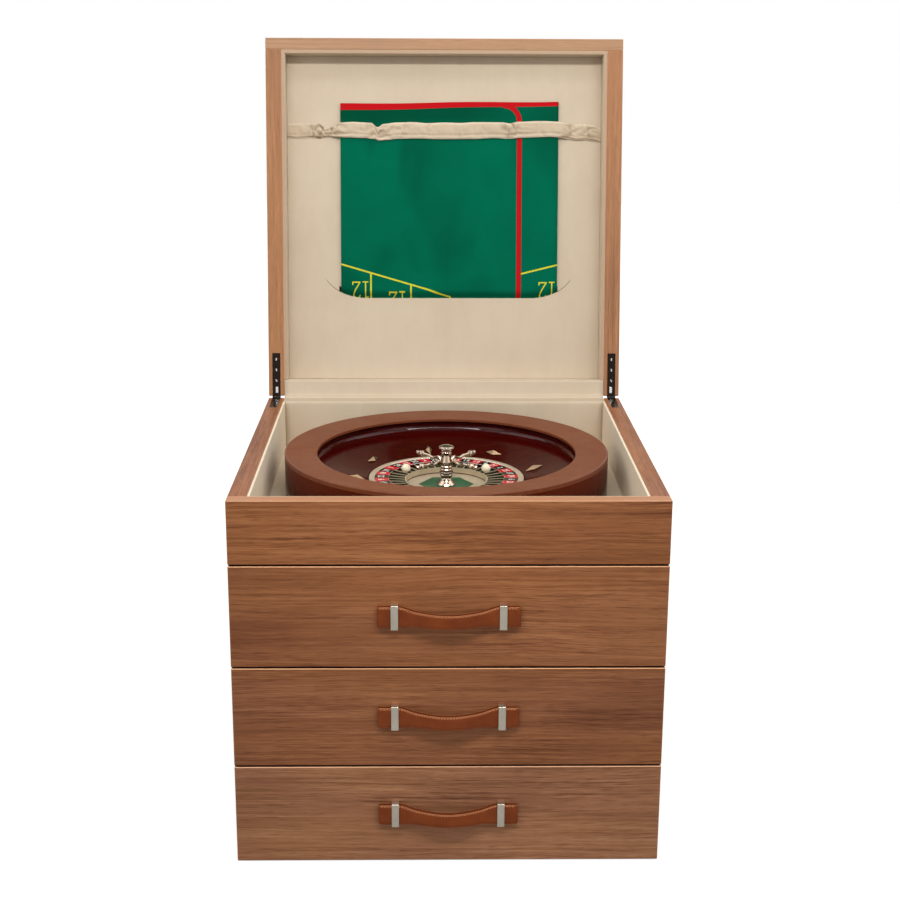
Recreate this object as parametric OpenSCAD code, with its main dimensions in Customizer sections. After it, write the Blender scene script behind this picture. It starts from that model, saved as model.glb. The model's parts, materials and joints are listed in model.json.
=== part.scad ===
// Roulette set case: a veneered cabinet with a lined tray for the wheel, a hinged lid with a
// pocket for the layout cloth, and three drawers. Millimetres. The origin is at the centre of
// the underside, +Z is up and the drawers open towards -Y. The lid is drawn closed and turned
// open about its hinge pins.

/* [Case] */
// Width of the case and of the lid
case_w = 500; // [470:1:560]
// Depth of the case and of the lid
case_d = 500; // [470:1:560]
// Thickness of the side boards
side_t = 22; // [18:0.5:26]
// Thickness of the tray front and the drawer fronts
front_t = 18; // [14:0.5:22]
// Thickness of the back panel
back_t = 18; // [12:0.5:22]
// Height of the tray front
tray_front_h = 75.5; // [70:0.5:95]
// Thickness of the tray floor
tray_floor_t = 8; // [5:0.5:10]
// Thickness of the base panel
base_t = 10; // [6:0.5:12]
// Thickness of the dividers between drawers
divider_t = 6; // [4:0.5:8]
// Width of the eased edges of the boards
edge_ease = 0.8; // [0.4:0.1:1.5]

/* [Linings] */
// Thickness of the lining boards in the tray
tray_lining_t = 3; // [2:0.5:4]
// Thickness of the suede on the tray floor
floor_lining_t = 2; // [1:0.5:3]
// Distance from the top of the tray walls down to the lip of the lining
lip_drop = 0.8; // [0.4:0.1:2]
// Thickness of the suede over the hinge line
cover_t = 1.2; // [0.8:0.1:1.6]
// Thickness of the felt under the base
felt_t = 1.5; // [1:0.5:3]
// Distance from the edges of the case to the felt
felt_inset = 4; // [2:1:10]

/* [Drawers] */
// Height of each drawer front
drawer_front_h = 122; // [118:1:140]
// Gap above each drawer front
front_gap = 2; // [1:0.5:3]
// Gap between a closed drawer box and the back panel
box_back_gap = 24; // [19:1:60]
// Gap between each drawer box and the divider above it
box_top_gap = 7; // [5:1:25]
// Thickness of the drawer box walls
box_t = 12; // [10:0.5:15]
// Thickness of the drawer bottoms
box_floor_t = 5; // [4:0.5:8]
// Height of the underside of a box above the lower edge of its front
box_rise = 13; // [11:0.5:14]
// Clearance between a drawer box and the side boards
box_side_gap = 2; // [1:0.5:3]
// Thickness of the suede in the drawers
box_lining_t = 1.5; // [1:0.5:2.5]
// Distance from the top of a box down to the top of its lining
box_lining_drop = 8; // [4:1:15]
// Height of the drawer runners
runner_h = 10; // [8:1:14]
// Depth that a runner reaches into the groove of a drawer side
runner_grip = 5; // [4:0.5:6]
// Running clearance of a runner in its groove
runner_gap = 0.3; // [0.2:0.1:0.6]

/* [Handles] */
// Length of the leather strap
strap_l = 164; // [150:1:180]
// Height of the strap at its ends
strap_h = 24.5; // [20:0.5:30]
// Height of the strap in the middle
strap_mid_h = 16.5; // [13:0.5:20]
// Thickness of the padded strap
strap_t = 6.6; // [4:0.2:8]
// Distance that the middle of the strap bows out
strap_bow = 10; // [8:0.5:16]
// Distance between the centres of the two brackets
bracket_pitch = 124; // [110:1:135]
// Width of a bracket
bracket_w = 8.5; // [6:0.5:12]
// Thickness of the bracket bar
bracket_t = 2; // [1.5:0.25:2.5]
// Clearance between strap and bracket, and between strap and drawer front
strap_gap = 0.3; // [0.2:0.1:0.6]
// Radius of the studs that fix a bracket
stud_r = 2; // [1.5:0.25:2.5]
// Length of the studs inside the drawer front
stud_l = 10; // [6:1:12]

/* [Lid] */
// Angle from closed to open
lid_open = 99.12; // [90:0.01:110]
// Gap between the closed lid and the case
lid_gap = 0.5; // [0.3:0.1:1]
// Thickness of the front rail of the lid
lid_front_t = 16; // [12:0.5:20]
// Thickness of the rear rail of the lid
lid_rear_t = 18; // [14:0.5:22]
// Thickness of the top panel of the lid
lid_top_t = 10; // [8:0.5:14]
// Thickness of the lip boards inside the lid
lip_t = 5; // [3:0.5:7]
// Depth of the recess in front of the lining panel
recess = 27; // [20:0.5:32]
// Thickness of the lining panel
panel_t = 3; // [2:0.5:4]
// Depth of the cloth pocket behind the lining panel
pocket_gap = 8; // [7:0.5:12]
// Width of the spacer battens behind the lining panel
batten_w = 10; // [6:1:16]
// Clearance round the lining panel
panel_gap = 0.3; // [0.2:0.1:1]

/* [Pocket and cloth] */
// Height of the flat lower edge of the pocket slit above the rear edge of the lid
slit_up = 139; // [110:1:170]
// Length of the flat lower edge of the slit
slit_flat = 236; // [200:1:250]
// Distance that the slit runs past each edge of the cloth
slit_past = 19.5; // [12:0.5:27]
// Rise of the tips above the flat lower edge
slit_rise = 26; // [18:1:34]
// Height of the slit opening in the middle
slit_open = 11; // [10:0.5:16]
// Distance that the slit and the cloth stand to the right of the centre
pocket_shift = 6.5; // [0:0.5:10]
// Width of the folded cloth
cloth_w = 311; // [280:1:320]
// Height of the folded cloth's upper edge above the rear edge of the lid
cloth_top = 415; // [395:1:440]
// Height of the folded cloth's lower edge inside the pocket
cloth_bottom = 72; // [50:1:95]
// Thickness of one doubled layer of cloth
ply_t = 0.8; // [0.6:0.1:0.9]
// Gap between two layers of cloth
ply_gap = 0.2; // [0.15:0.05:0.25]
// Height of the middle of the elastic strap above the rear edge of the lid
elastic_up = 376; // [350:1:385]
// Height of the gathered elastic strap
elastic_h = 24; // [18:1:30]
// Thickness of the gathered elastic strap
elastic_t = 2.6; // [2:0.2:3]

/* [Hinges] */
// Width of a hinge leaf
leaf_w = 11.5; // [10:0.5:13]
// Length of the lid leaf from the pin
lid_leaf_l = 63; // [50:1:75]
// Length of the case leaf from the pin
case_leaf_l = 60; // [50:1:75]
// Thickness of a hinge leaf
leaf_t = 2; // [1.5:0.1:2.2]
// Distance from the outer side of the case to a leaf
leaf_inset = 5.2; // [4:0.1:5.5]
// Distance from the back of the case to the pins
pin_back = 2; // [1.5:0.1:2.5]
// Radius of a hinge knuckle
knuckle_r = 2.75; // [2.6:0.05:3]
// Radius of a hinge pin
pin_r = 1.25; // [1:0.05:1.5]
// Radial clearance of the pin in the knuckles
pin_gap = 0.05; // [0.02:0.01:0.1]
// Clearance between knuckles, and between a knuckle and the wood
knuckle_gap = 0.3; // [0.2:0.05:0.4]
// Radius of a screw shank
screw_r = 1.1; // [0.9:0.1:1.4]
// Length of a screw
screw_l = 12; // [8:1:15]

/* [Wheel] */
// Outer radius of the wheel
wheel_r = 205; // [195:1:214]
// Height of the wheel
wheel_h = 58.5; // [56:0.5:62]
// Width of the flat rim ring
rim_w = 41; // [34:1:46]
// Thickness of the rim cap
rim_cap_t = 6; // [4:0.5:7]
// Fall of the rim cap towards the middle
rim_fall = 2.5; // [1:0.5:4]
// Depth of the middle of the ball track below the top of the wheel
track_drop = 12.5; // [11:0.5:13.5]
// Radius of the ball track's section
track_r = 7.5; // [6:0.5:8]
// Radius of the wheel's base disc
base_disc_r = 190; // [150:1:192]
// Thickness of the wheel's base disc
base_disc_t = 5; // [4:0.5:6]
// Distance of the deflectors from the centre
deflector_at = 116; // [112:1:130]
// Length of a deflector
deflector_l = 24; // [18:1:28]
// Width of a deflector
deflector_w = 9; // [6:0.5:12]
// Height of a deflector above the apron
deflector_h = 5; // [3:0.5:7]

/* [Rotor] */
// Outer radius of the rotor
rotor_r = 99.2; // [96:0.2:102]
// Gap between the rotor and the bowl
rotor_gap = 1.3; // [0.8:0.1:2]
// Gap under the rotor
rotor_lift = 1; // [0.8:0.1:1.5]
// Distance from the wheel's top down to the rotor's rim
rotor_drop = 37; // [35:0.5:38]
// Width of the metal rotor rim
rotor_rim_w = 7.2; // [5:0.2:9]
// Width of the number band
number_w = 18; // [14:0.5:20]
// Thickness of the number segments
number_t = 1.5; // [1:0.1:2]
// Width of the ring of ball pockets
pocket_w = 21; // [16:0.5:23]
// Thickness of a fret
fret_t = 1; // [0.8:0.1:1.4]
// Radius of a ball
ball_r = 6; // [5:0.1:6.8]
// Across-flats radius of the green inlay
inlay_r = 31; // [24:0.5:36]
// Radius of the spindle
spindle_r = 3; // [2.5:0.1:3.4]
// Radial clearance of the rotor on the spindle
spindle_gap = 0.05; // [0.02:0.01:0.1]

/* [Turret] */
// Height of the turret's top above the rim of the wheel
turret_over = 4.8; // [2:0.2:5]
// Radius of the turret's cap
turret_cap_r = 10; // [8:0.5:12]
// Distance from the turret's centre to the ends of the arms
arm_reach = 48; // [42:0.5:54]
// Depth of the ends of the arms below the top of the wheel
arm_drop = 15; // [13:0.5:17]
// Radius of an arm's bar
arm_r = 1.9; // [1.4:0.1:2.2]
// Radius of the large bead at the end of an arm
bead_r = 4.2; // [3:0.1:5]

/* [Hidden] */
$fn = 96;

drawer_count = 3;
pocket_count = 37;
hair = 0.01;

// Main planes of the case
x_out = case_w / 2;
x_in = x_out - side_t;
y_front = -case_d / 2;
y_back = case_d / 2;
y_box = y_front + front_t;
y_wall = y_back - back_t;
z_base = felt_t;
drawer_pitch = drawer_front_h + front_gap;
z_tray = z_base + drawer_count * drawer_pitch;
z_top = z_tray + tray_front_h;
z_floor = z_tray + tray_floor_t;
z_lined = z_floor + floor_lining_t;
box_d = y_wall - y_box - box_back_gap;
box_h = drawer_pitch - front_gap / 2 - divider_t / 2 - box_rise - box_top_gap;

// Main planes of the closed lid
z_part = z_top + lid_gap;
z_panel = z_part + recess;
z_pocket = z_panel + panel_t;
z_under_top = z_pocket + pocket_gap;
z_lid = z_under_top + lid_top_t;
lip_front = y_front + lid_front_t + lip_t;
lip_back = y_back - lid_rear_t - lip_t;
lip_x = x_in - lip_t;
slit_cut = 0.8;
slit_w = cloth_w + 2 * slit_past;

// Hinge
pin_y = y_back + pin_back;
pin_z = z_top + lid_gap / 2;
leaf_x = x_out - leaf_inset - leaf_w / 2;
knuckle_w = (leaf_w - 2 * knuckle_gap) / 3;
cut_r = knuckle_r + knuckle_gap;
screw_head_r = 2 * screw_r;
screw_fit = 0.05;
screw_rows = [0.86, 0.62, 0.38];

// Colours
walnut = [0.55, 0.36, 0.24];
edge_walnut = [0.50, 0.33, 0.23];
birch = [0.78, 0.66, 0.48];
suede = [0.82, 0.75, 0.64];
felt_green = [0.16, 0.24, 0.18];
cloth_green = [0.02, 0.38, 0.26];
mahogany = [0.27, 0.05, 0.04];
rim_brown = [0.44, 0.24, 0.17];
tan_leather = [0.60, 0.30, 0.17];
steel = [0.72, 0.72, 0.70];
chrome = [0.85, 0.85, 0.86];
gunmetal = [0.12, 0.12, 0.12];
bronze = [0.66, 0.48, 0.26];
champagne = [0.80, 0.74, 0.62];
ivory = [0.96, 0.94, 0.86];

// Points on an arc, in the plane of the outline
function arc(cx, cy, r, from, to, steps) =
    [for (i = [0 : steps]) let (a = from + (to - from) * i / steps) [cx + r * cos(a), cy + r * sin(a)]];

module eased_outline(a0, a1, b0, b1, e) {
    polygon([
        [a0 + e, b0], [a1 - e, b0], [a1, b0 + e], [a1, b1 - e],
        [a1 - e, b1], [a0 + e, b1], [a0, b1 - e], [a0, b0 + e]
    ]);
}

// A board between two corners, with all its edges eased
module board(lo, hi, e = edge_ease) {
    intersection() {
        translate([0, 0, lo.z])
            linear_extrude(hi.z - lo.z)
                eased_outline(lo.x, hi.x, lo.y, hi.y, e);
        translate([lo.x, 0, 0])
            rotate([90, 0, 90])
                linear_extrude(hi.x - lo.x)
                    eased_outline(lo.y, hi.y, lo.z, hi.z, e);
        translate([0, hi.y, 0])
            rotate([90, 0, 0])
                linear_extrude(hi.y - lo.y)
                    eased_outline(lo.x, hi.x, lo.z, hi.z, e);
    }
}

module block(lo, hi) {
    translate(lo)
        cube(hi - lo);
}

module both_sides() {
    children();
    mirror([1, 0, 0])
        children();
}

module lid_open_place() {
    translate([0, pin_y, pin_z])
        rotate([-lid_open, 0, 0])
            translate([0, -pin_y, -pin_z])
                children();
}

// Case boards

module hinge_mortise_case() {
    block([leaf_x - leaf_w / 2, pin_y - case_leaf_l, z_top - leaf_t],
          [leaf_x + leaf_w / 2, y_back + 1, z_top + 1]);
    knuckle_room();
    for (row = screw_rows)
        translate([leaf_x, pin_y - row * case_leaf_l, z_top - screw_l])
            cylinder(r = screw_r + screw_fit, h = screw_l);
}

module knuckle_room() {
    translate([leaf_x - leaf_w / 2, pin_y, pin_z])
        rotate([0, 90, 0])
            cylinder(r = cut_r, h = leaf_w);
}

module side_board() {
    difference() {
        board([x_in, y_box, z_base], [x_out, y_back, z_top]);
        hinge_mortise_case();
    }
}

module right_side() {
    color(walnut)
        side_board();
}

module left_side() {
    color(walnut)
        mirror([1, 0, 0])
            side_board();
}

module back_panel() {
    color(walnut)
        board([-x_in, y_wall, z_base], [x_in, y_back, z_top - cover_t]);
}

module base_panel() {
    color(birch)
        block([-x_in, y_box, z_base], [x_in, y_wall, z_base + base_t]);
}

module drawer_dividers() {
    color(birch)
        for (n = [1 : drawer_count - 1])
            let (z = z_tray - n * drawer_pitch - front_gap / 2)
                block([-x_in, y_box, z - divider_t / 2], [x_in, y_wall, z + divider_t / 2]);
}

module tray_front() {
    color(walnut)
        board([-x_out, y_front, z_tray], [x_out, y_box, z_top]);
}

module tray_floor() {
    color(birch)
        block([-x_in, y_box, z_tray], [x_in, y_wall, z_floor]);
}

module base_felt() {
    color(felt_green)
        block([-x_out + felt_inset, y_box + felt_inset, 0],
              [x_out - felt_inset, y_back - felt_inset, felt_t]);
}

// Tray linings

module tray_lining() {
    lip_z = z_top - lip_drop;
    color(suede) {
        board([-x_in, y_box, z_lined], [x_in, y_box + tray_lining_t, lip_z], edge_ease / 2);
        both_sides()
            board([x_in - tray_lining_t, y_box + tray_lining_t + hair, z_lined],
                  [x_in, y_wall - tray_lining_t - hair, lip_z], edge_ease / 2);
        board([-x_in, y_wall - tray_lining_t, z_lined], [x_in, y_wall, z_top - cover_t], edge_ease / 2);
    }
}

module tray_floor_lining() {
    color(suede)
        block([-x_in, y_box, z_floor], [x_in, y_wall, z_lined]);
}

module hinge_cover_case() {
    y_hang = y_wall - tray_lining_t - cover_t;
    x_hang = x_in - tray_lining_t - panel_gap;
    color(suede) {
        block([-x_hang, y_hang, z_lined], [x_hang, y_hang + cover_t, z_top]);
        block([-x_hang, y_hang, z_top - cover_t], [x_hang, y_wall, z_top]);
        block([-x_in + panel_gap, y_wall - hair, z_top - cover_t], [x_in - panel_gap, y_back, z_top]);
    }
}

// Hinges

module knuckle(n) {
    translate([leaf_x - leaf_w / 2 + n * (knuckle_w + knuckle_gap), pin_y, pin_z])
        rotate([0, 90, 0])
            cylinder(r = knuckle_r, h = knuckle_w, $fn = 48);
}

module pin_bore(extra) {
    translate([leaf_x - leaf_w / 2 - 1, pin_y, pin_z])
        rotate([0, 90, 0])
            cylinder(r = pin_r + extra, h = leaf_w + 2, $fn = 48);
}

module knuckle_swing(n) {
    translate([leaf_x - leaf_w / 2 + n * (knuckle_w + knuckle_gap) - knuckle_gap, pin_y, pin_z])
        rotate([0, 90, 0])
            cylinder(r = cut_r, h = knuckle_w + 2 * knuckle_gap, $fn = 48);
}

module screw_holes(l, z, up) {
    for (row = screw_rows)
        translate([leaf_x, pin_y - row * l, z])
            mirror([0, 0, up ? 0 : 1])
                screw_room();
}

// Room for a countersunk screw whose head is flush with z = 0 and whose tip points down
module screw_room() {
    translate([0, 0, -leaf_t - 1])
        cylinder(r = screw_r + screw_fit, h = leaf_t + 2, $fn = 32);
    translate([0, 0, -leaf_t * 0.6])
        cylinder(r1 = screw_r + screw_fit, r2 = screw_head_r + screw_fit, h = leaf_t * 0.6, $fn = 32);
}

module screw() {
    slot_w = 0.5;
    difference() {
        union() {
            translate([0, 0, -screw_l])
                cylinder(r = screw_r, h = screw_l, $fn = 32);
            translate([0, 0, -leaf_t * 0.6])
                cylinder(r1 = screw_r, r2 = screw_head_r, h = leaf_t * 0.6, $fn = 32);
        }
        translate([-screw_head_r, -slot_w / 2, -slot_w])
            cube([2 * screw_head_r, slot_w, 2 * slot_w]);
    }
}

module case_leaf() {
    difference() {
        union() {
            difference() {
                block([leaf_x - leaf_w / 2, pin_y - case_leaf_l, z_top - leaf_t],
                      [leaf_x + leaf_w / 2, pin_y, z_top]);
                knuckle_swing(1);
            }
            knuckle(0);
            knuckle(2);
        }
        pin_bore(pin_gap);
        screw_holes(case_leaf_l, z_top, true);
    }
}

module lid_leaf() {
    difference() {
        union() {
            difference() {
                block([leaf_x - leaf_w / 2, pin_y - lid_leaf_l, z_part],
                      [leaf_x + leaf_w / 2, pin_y, z_part + leaf_t]);
                knuckle_swing(0);
                knuckle_swing(2);
            }
            knuckle(1);
        }
        pin_bore(pin_gap);
        screw_holes(lid_leaf_l, z_part, false);
    }
}

module case_hinge_leaves() {
    color(gunmetal)
        both_sides()
            case_leaf();
}

module lid_hinge_leaves() {
    color(gunmetal)
        both_sides()
            lid_open_place()
                lid_leaf();
}

module hinge_pins() {
    color(chrome)
        both_sides()
            translate([leaf_x - leaf_w / 2, pin_y, pin_z])
                rotate([0, 90, 0])
                    cylinder(r = pin_r, h = leaf_w, $fn = 48);
}

module case_hinge_screws() {
    color(steel)
        both_sides()
            for (row = screw_rows)
                translate([leaf_x, pin_y - row * case_leaf_l, z_top])
                    screw();
}

module lid_hinge_screws() {
    color(steel)
        both_sides()
            lid_open_place()
                for (row = screw_rows)
                    translate([leaf_x, pin_y - row * lid_leaf_l, z_part])
                        mirror([0, 0, 1])
                            screw();
}

// Lid, drawn closed

module hinge_mortise_lid() {
    block([leaf_x - leaf_w / 2, pin_y - lid_leaf_l, z_part - 1],
          [leaf_x + leaf_w / 2, y_back + 1, z_part + leaf_t]);
    knuckle_room();
    for (row = screw_rows)
        translate([leaf_x, pin_y - row * lid_leaf_l, z_part])
            cylinder(r = screw_r + screw_fit, h = screw_l);
}

module lid_front_rail() {
    color(walnut)
        lid_open_place()
            board([-x_out, y_front, z_part], [x_out, y_front + lid_front_t, z_under_top]);
}

module lid_rear_rail() {
    color(walnut)
        lid_open_place()
            board([-x_in, y_back - lid_rear_t, z_part + cover_t], [x_in, y_back, z_under_top]);
}

module lid_side_rails() {
    color(walnut)
        lid_open_place()
            both_sides()
                difference() {
                    board([x_in, y_front + lid_front_t, z_part], [x_out, y_back, z_under_top]);
                    hinge_mortise_lid();
                }
}

module lid_top_panel() {
    color(walnut)
        lid_open_place()
            board([-x_out, y_front, z_under_top], [x_out, y_back, z_lid]);
}

module lid_lip() {
    z_lip = z_part + lip_drop / 2;
    color(suede)
        lid_open_place() {
            board([-x_in, lip_front - lip_t, z_lip], [x_in, lip_front, z_under_top], edge_ease / 2);
            both_sides()
                board(
                    [lip_x, lip_front + hair, z_lip],
                    [x_in, lip_back - hair, z_under_top],
                    edge_ease / 2
                );
            board(
                [-x_in, lip_back, z_part + cover_t],
                [x_in, lip_back + lip_t, z_under_top],
                edge_ease / 2
            );
        }
}

// Height of the slit's lower edge at a distance from its middle
function slit_edge(x) =
    let (flat = slit_flat / 2, run = slit_w / 2 - flat, t = max(0, abs(x) - flat) / run)
        slit_up + slit_rise * (1 - sqrt(1 - pow(min(1, t) * 0.92, 2))) / (1 - sqrt(1 - 0.92 * 0.92));

// The slit gapes where the cloth passes and is only a cut beyond it
function slit_lip(x) =
    let (t = abs(x) / (slit_w / 2), gape = cloth_w / 2 + 1.2)
        slit_edge(x) + (abs(x) <= gape ? slit_open * sqrt(1 - pow(t, 6)) : slit_cut);

module slit_outline() {
    gape = cloth_w / 2 + 1.2;
    tip = slit_w / 2;
    at = concat(
        [for (i = [0 : 5]) -tip + (tip - gape) * i / 6],
        [-gape - 0.2],
        [for (i = [0 : 36]) gape * (i / 18 - 1)],
        [gape + 0.2],
        [for (i = [1 : 6]) gape + (tip - gape) * i / 6]
    );
    polygon(concat(
        [for (x = at) [x + pocket_shift, y_back - slit_edge(x)]],
        [for (i = [len(at) - 1 : -1 : 0]) [at[i] + pocket_shift, y_back - slit_lip(at[i])]]
    ));
}

module lid_lining_panel() {
    color(suede)
        lid_open_place()
            difference() {
                block([-lip_x + panel_gap, lip_front + panel_gap, z_panel],
                      [lip_x - panel_gap, lip_back - panel_gap, z_pocket]);
                translate([0, 0, z_panel - 1])
                    linear_extrude(panel_t + 2)
                        slit_outline();
            }
}

module lining_battens() {
    color(birch)
        lid_open_place() {
            both_sides()
                block([lip_x - panel_gap - batten_w, lip_front + panel_gap, z_pocket],
                      [lip_x - panel_gap, lip_back - panel_gap, z_under_top]);
            for (y = [lip_front + panel_gap, lip_back - panel_gap - batten_w])
                block([-lip_x + panel_gap + batten_w + hair, y, z_pocket],
                      [lip_x - panel_gap - batten_w - hair, y + batten_w, z_under_top]);
        }
}

module hinge_cover_lid() {
    color(suede)
        lid_open_place()
            block([-x_in + panel_gap, lip_back, z_part], [x_in - panel_gap, y_back, z_part + cover_t]);
}

// Folded layout cloth: four doubled layers, fanfolded, which pass through the slit
ply_pitch = ply_t + ply_gap;
stack_t = 4 * ply_t + 3 * ply_gap;
cloth_seat = 0.3;
front_depth = z_panel - cloth_seat - stack_t / 2;
back_depth = z_pocket + cloth_seat + stack_t / 2;
jog_half = 6;
jog_mid = slit_up + slit_open / 2;

// The middle plane of the stack at a height above the rear edge of the lid
function jog(up) =
    let (t = min(1, max(0, (up - jog_mid + jog_half) / (2 * jog_half))))
        back_depth + (front_depth - back_depth) * t * t * (3 - 2 * t);

function jog_normal(up) =
    let (d = (jog(up + 0.1) - jog(up - 0.1)) / 0.2, n = sqrt(1 + d * d)) [1 / n, -d / n];

// A point of the stack at a height and at a distance from its middle plane, as depth and height
function in_stack(up, off) =
    let (n = jog_normal(up)) [jog(up) + off * n[0], up + off * n[1]];

cloth_stations = concat(
    [cloth_bottom + ply_pitch],
    [for (i = [0 : 8]) jog_mid - jog_half + 2 * jog_half * i / 8],
    [for (i = [1 : 4]) jog_mid + jog_half + (cloth_top - ply_pitch - jog_mid - jog_half) * i / 4]
);

function reversed(list) = [for (i = [len(list) - 1 : -1 : 0]) list[i]];

// Offsets of the layers from the middle plane, from the pocket's back to its front
function ply_off(n) = (1.5 - n) * ply_pitch;

function run_up(off) = [for (up = cloth_stations) in_stack(up, off)];

function fold(n, top, side) =
    let (
        up = top ? cloth_top - ply_pitch : cloth_bottom + ply_pitch,
        mid = (ply_off(n) + ply_off(n + 1)) / 2,
        r = ply_pitch / 2 + side * ply_t / 2,
        way = top ? 1 : -1
    )
        [for (i = [1 : 5]) let (a = 30 * i) in_stack(up, mid + r * cos(a)) + [0, way * r * sin(a)]];

// The outline of the fanfold, once round: folds at the top, the bottom and the top again
module fanfold() {
    half = ply_t / 2;
    polygon(concat(
        run_up(ply_off(0) + half), fold(0, true, 1), reversed(run_up(ply_off(1) - half)),
        fold(1, false, -1), run_up(ply_off(2) + half), fold(2, true, 1),
        reversed(run_up(ply_off(3) - half)), run_up(ply_off(3) + half),
        reversed(fold(2, true, -1)), reversed(run_up(ply_off(2) - half)),
        reversed(fold(1, false, 1)), run_up(ply_off(1) + half), reversed(fold(0, true, -1)),
        reversed(run_up(ply_off(0) - half))
    ));
}

// The cloth is drawn in where it passes the curved ends of the slit
module cloth_waist() {
    narrow = slit_flat / 2 - 4;
    side = cloth_w / 2 + 1;
    translate([pocket_shift, y_back, z_panel - recess])
        linear_extrude(recess + panel_t + pocket_gap)
            for (way = [-1, 1])
                polygon([
                    [way * narrow, -jog_mid + 9], [way * side, -jog_mid + 14],
                    [way * side, -jog_mid - 18], [way * (side - 12), -jog_mid - 14],
                    [way * narrow, -jog_mid - 8]
                ]);
}

module layout_cloth() {
    color(cloth_green)
        lid_open_place()
            difference() {
                translate([pocket_shift - cloth_w / 2, y_back, 0])
                    rotate([0, -90, 180])
                        linear_extrude(cloth_w)
                            fanfold();
                cloth_waist();
            }
}

// Gathered elastic strap: a puffed ribbon whose height and depth wander along its length
elastic_rings = 90;
elastic_sides = 10;
strap_span = lip_x;
gathers = [-182, -149, -96, 24, 112, 178];

// Distance from the lining panel to the middle of the strap
function elastic_depth(x) =
    let (
        over = max(0, 1 - max(0, abs(x - pocket_shift) - cloth_w / 2) / 16),
        ease = over * over * (3 - 2 * over)
    )
        cloth_seat + elastic_t / 2 + 0.6 + ease * (stack_t + cloth_seat) + 0.5 * (1 + sin(x * 19));

function pinch(x) = max([for (g = gathers) exp(-pow((x - g) / 5, 2))]);

function elastic_half(x) = elastic_h / 2 - 2.6 * pinch(x) + 0.7 * sin(x * 7.3) + 0.4 * sin(x * 17);

function elastic_rise(x) = 1.2 * sin(x * 0.9) + 0.8 * sin(x * 5.1) - 1.5 * pinch(x);

function elastic_ring(x) = [
    for (i = [0 : elastic_sides - 1])
        let (a = 360 * i / elastic_sides, puff = elastic_t / 2 * (1 - 0.45 * pinch(x)))
            [
                x,
                y_back - elastic_up - elastic_rise(x) + elastic_half(x) * cos(a),
                z_panel - elastic_depth(x) + puff * sin(a)
            ]
];

module tube(rings, sides) {
    n = len(rings);
    polyhedron(
        points = [for (ring = rings) for (p = ring) p],
        faces = concat(
            [for (i = [2 : sides - 1]) [0, i - 1, i]],
            [
                for (r = [0 : n - 2])
                    for (i = [0 : sides - 1])
                        for (h = [0, 1])
                            let (a = r * sides + i, b = r * sides + (i + 1) % sides)
                                h == 0 ? [a, a + sides, b + sides] : [a, b + sides, b]
            ],
            [for (i = [2 : sides - 1]) [(n - 1) * sides, (n - 1) * sides + i, (n - 1) * sides + i - 1]]
        )
    );
}

module elastic_strap() {
    color(suede)
        lid_open_place()
            tube([for (i = [0 : elastic_rings]) elastic_ring(strap_span * (2 * i / elastic_rings - 1))],
                 elastic_sides);
}

// Wheel: heights in these modules are above the floor lining
rim_in = wheel_r - rim_w;
well_r = rotor_r + rotor_gap;
rotor_top = wheel_h - rotor_drop;
cap_z = wheel_h - rim_cap_t;
track_z = wheel_h - track_drop;
track_at = rim_in - 3.5;
ledge_r = rim_in - 3;
ledge_z = track_z - track_r;
apron_z = rotor_top - 1;
apron_slope = atan((ledge_z - apron_z) / (ledge_r - well_r));
base_fit = 0.2;

module at_wheel() {
    translate([0, 0, z_lined])
        children();
}

module turned(n = 144) {
    rotate_extrude($fn = n)
        children();
}

module wheel_rim() {
    ease = 2;
    color(rim_brown)
        at_wheel()
            turned(180)
                polygon(concat(
                    [[rim_in, cap_z], [wheel_r, cap_z]],
                    arc(wheel_r - ease, wheel_h - ease, ease, 0, 90, 6),
                    arc(rim_in + 1, wheel_h - rim_fall - 1, 1, 90, 180, 4)
                ));
}

module wheel_bowl() {
    color(mahogany)
        at_wheel()
            turned(180)
                polygon(concat(
                    [[base_disc_r + base_fit, 0], [wheel_r - 2, 0], [wheel_r, 2]],
                    [[wheel_r, cap_z], [rim_in, cap_z]],
                    arc(track_at, track_z, track_r, 60, -70, 14),
                    [
                        [ledge_r, ledge_z], [ledge_r, base_disc_t],
                        [base_disc_r + base_fit, base_disc_t]
                    ]
                ));
}

// The sloping apron between the ball track and the rotor
module wheel_apron() {
    color(mahogany)
        at_wheel()
            turned(180)
                polygon([
                    [well_r, base_disc_t], [well_r, apron_z],
                    [ledge_r, ledge_z], [ledge_r, base_disc_t]
                ]);
}

module wheel_base() {
    color(birch)
        at_wheel()
            difference() {
                cylinder(r = base_disc_r, h = base_disc_t, $fn = 144);
                translate([0, 0, -1])
                    cylinder(r = spindle_r + spindle_gap, h = base_disc_t + 2, $fn = 48);
            }
}

// A diamond with four sloping facets, lying on the apron
module diamond() {
    l = deflector_l / 2;
    w = deflector_w / 2;
    skirt = 0.8;
    polyhedron(
        points = [
            [l, 0, 0], [0, w, 0], [-l, 0, 0], [0, -w, 0],
            [l, 0, skirt], [0, w, skirt], [-l, 0, skirt], [0, -w, skirt],
            [0, 0, deflector_h]
        ],
        faces = [
            [3, 2, 1, 0], [0, 1, 5, 4], [1, 2, 6, 5], [2, 3, 7, 6], [3, 0, 4, 7],
            [4, 5, 8], [5, 6, 8], [6, 7, 8], [7, 4, 8]
        ]
    );
}

module deflectors() {
    first = 11;
    lift = 0.25;
    z = apron_z + (deflector_at - well_r) * tan(apron_slope) + lift;
    color(chrome)
        at_wheel()
            for (n = [0 : 7])
                rotate([0, 0, first + 45 * n])
                    translate([deflector_at, 0, z])
                        rotate([0, -apron_slope, 0])
                            rotate([0, 0, n % 2 == 0 ? 0 : 90])
                                diamond();
}

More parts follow.
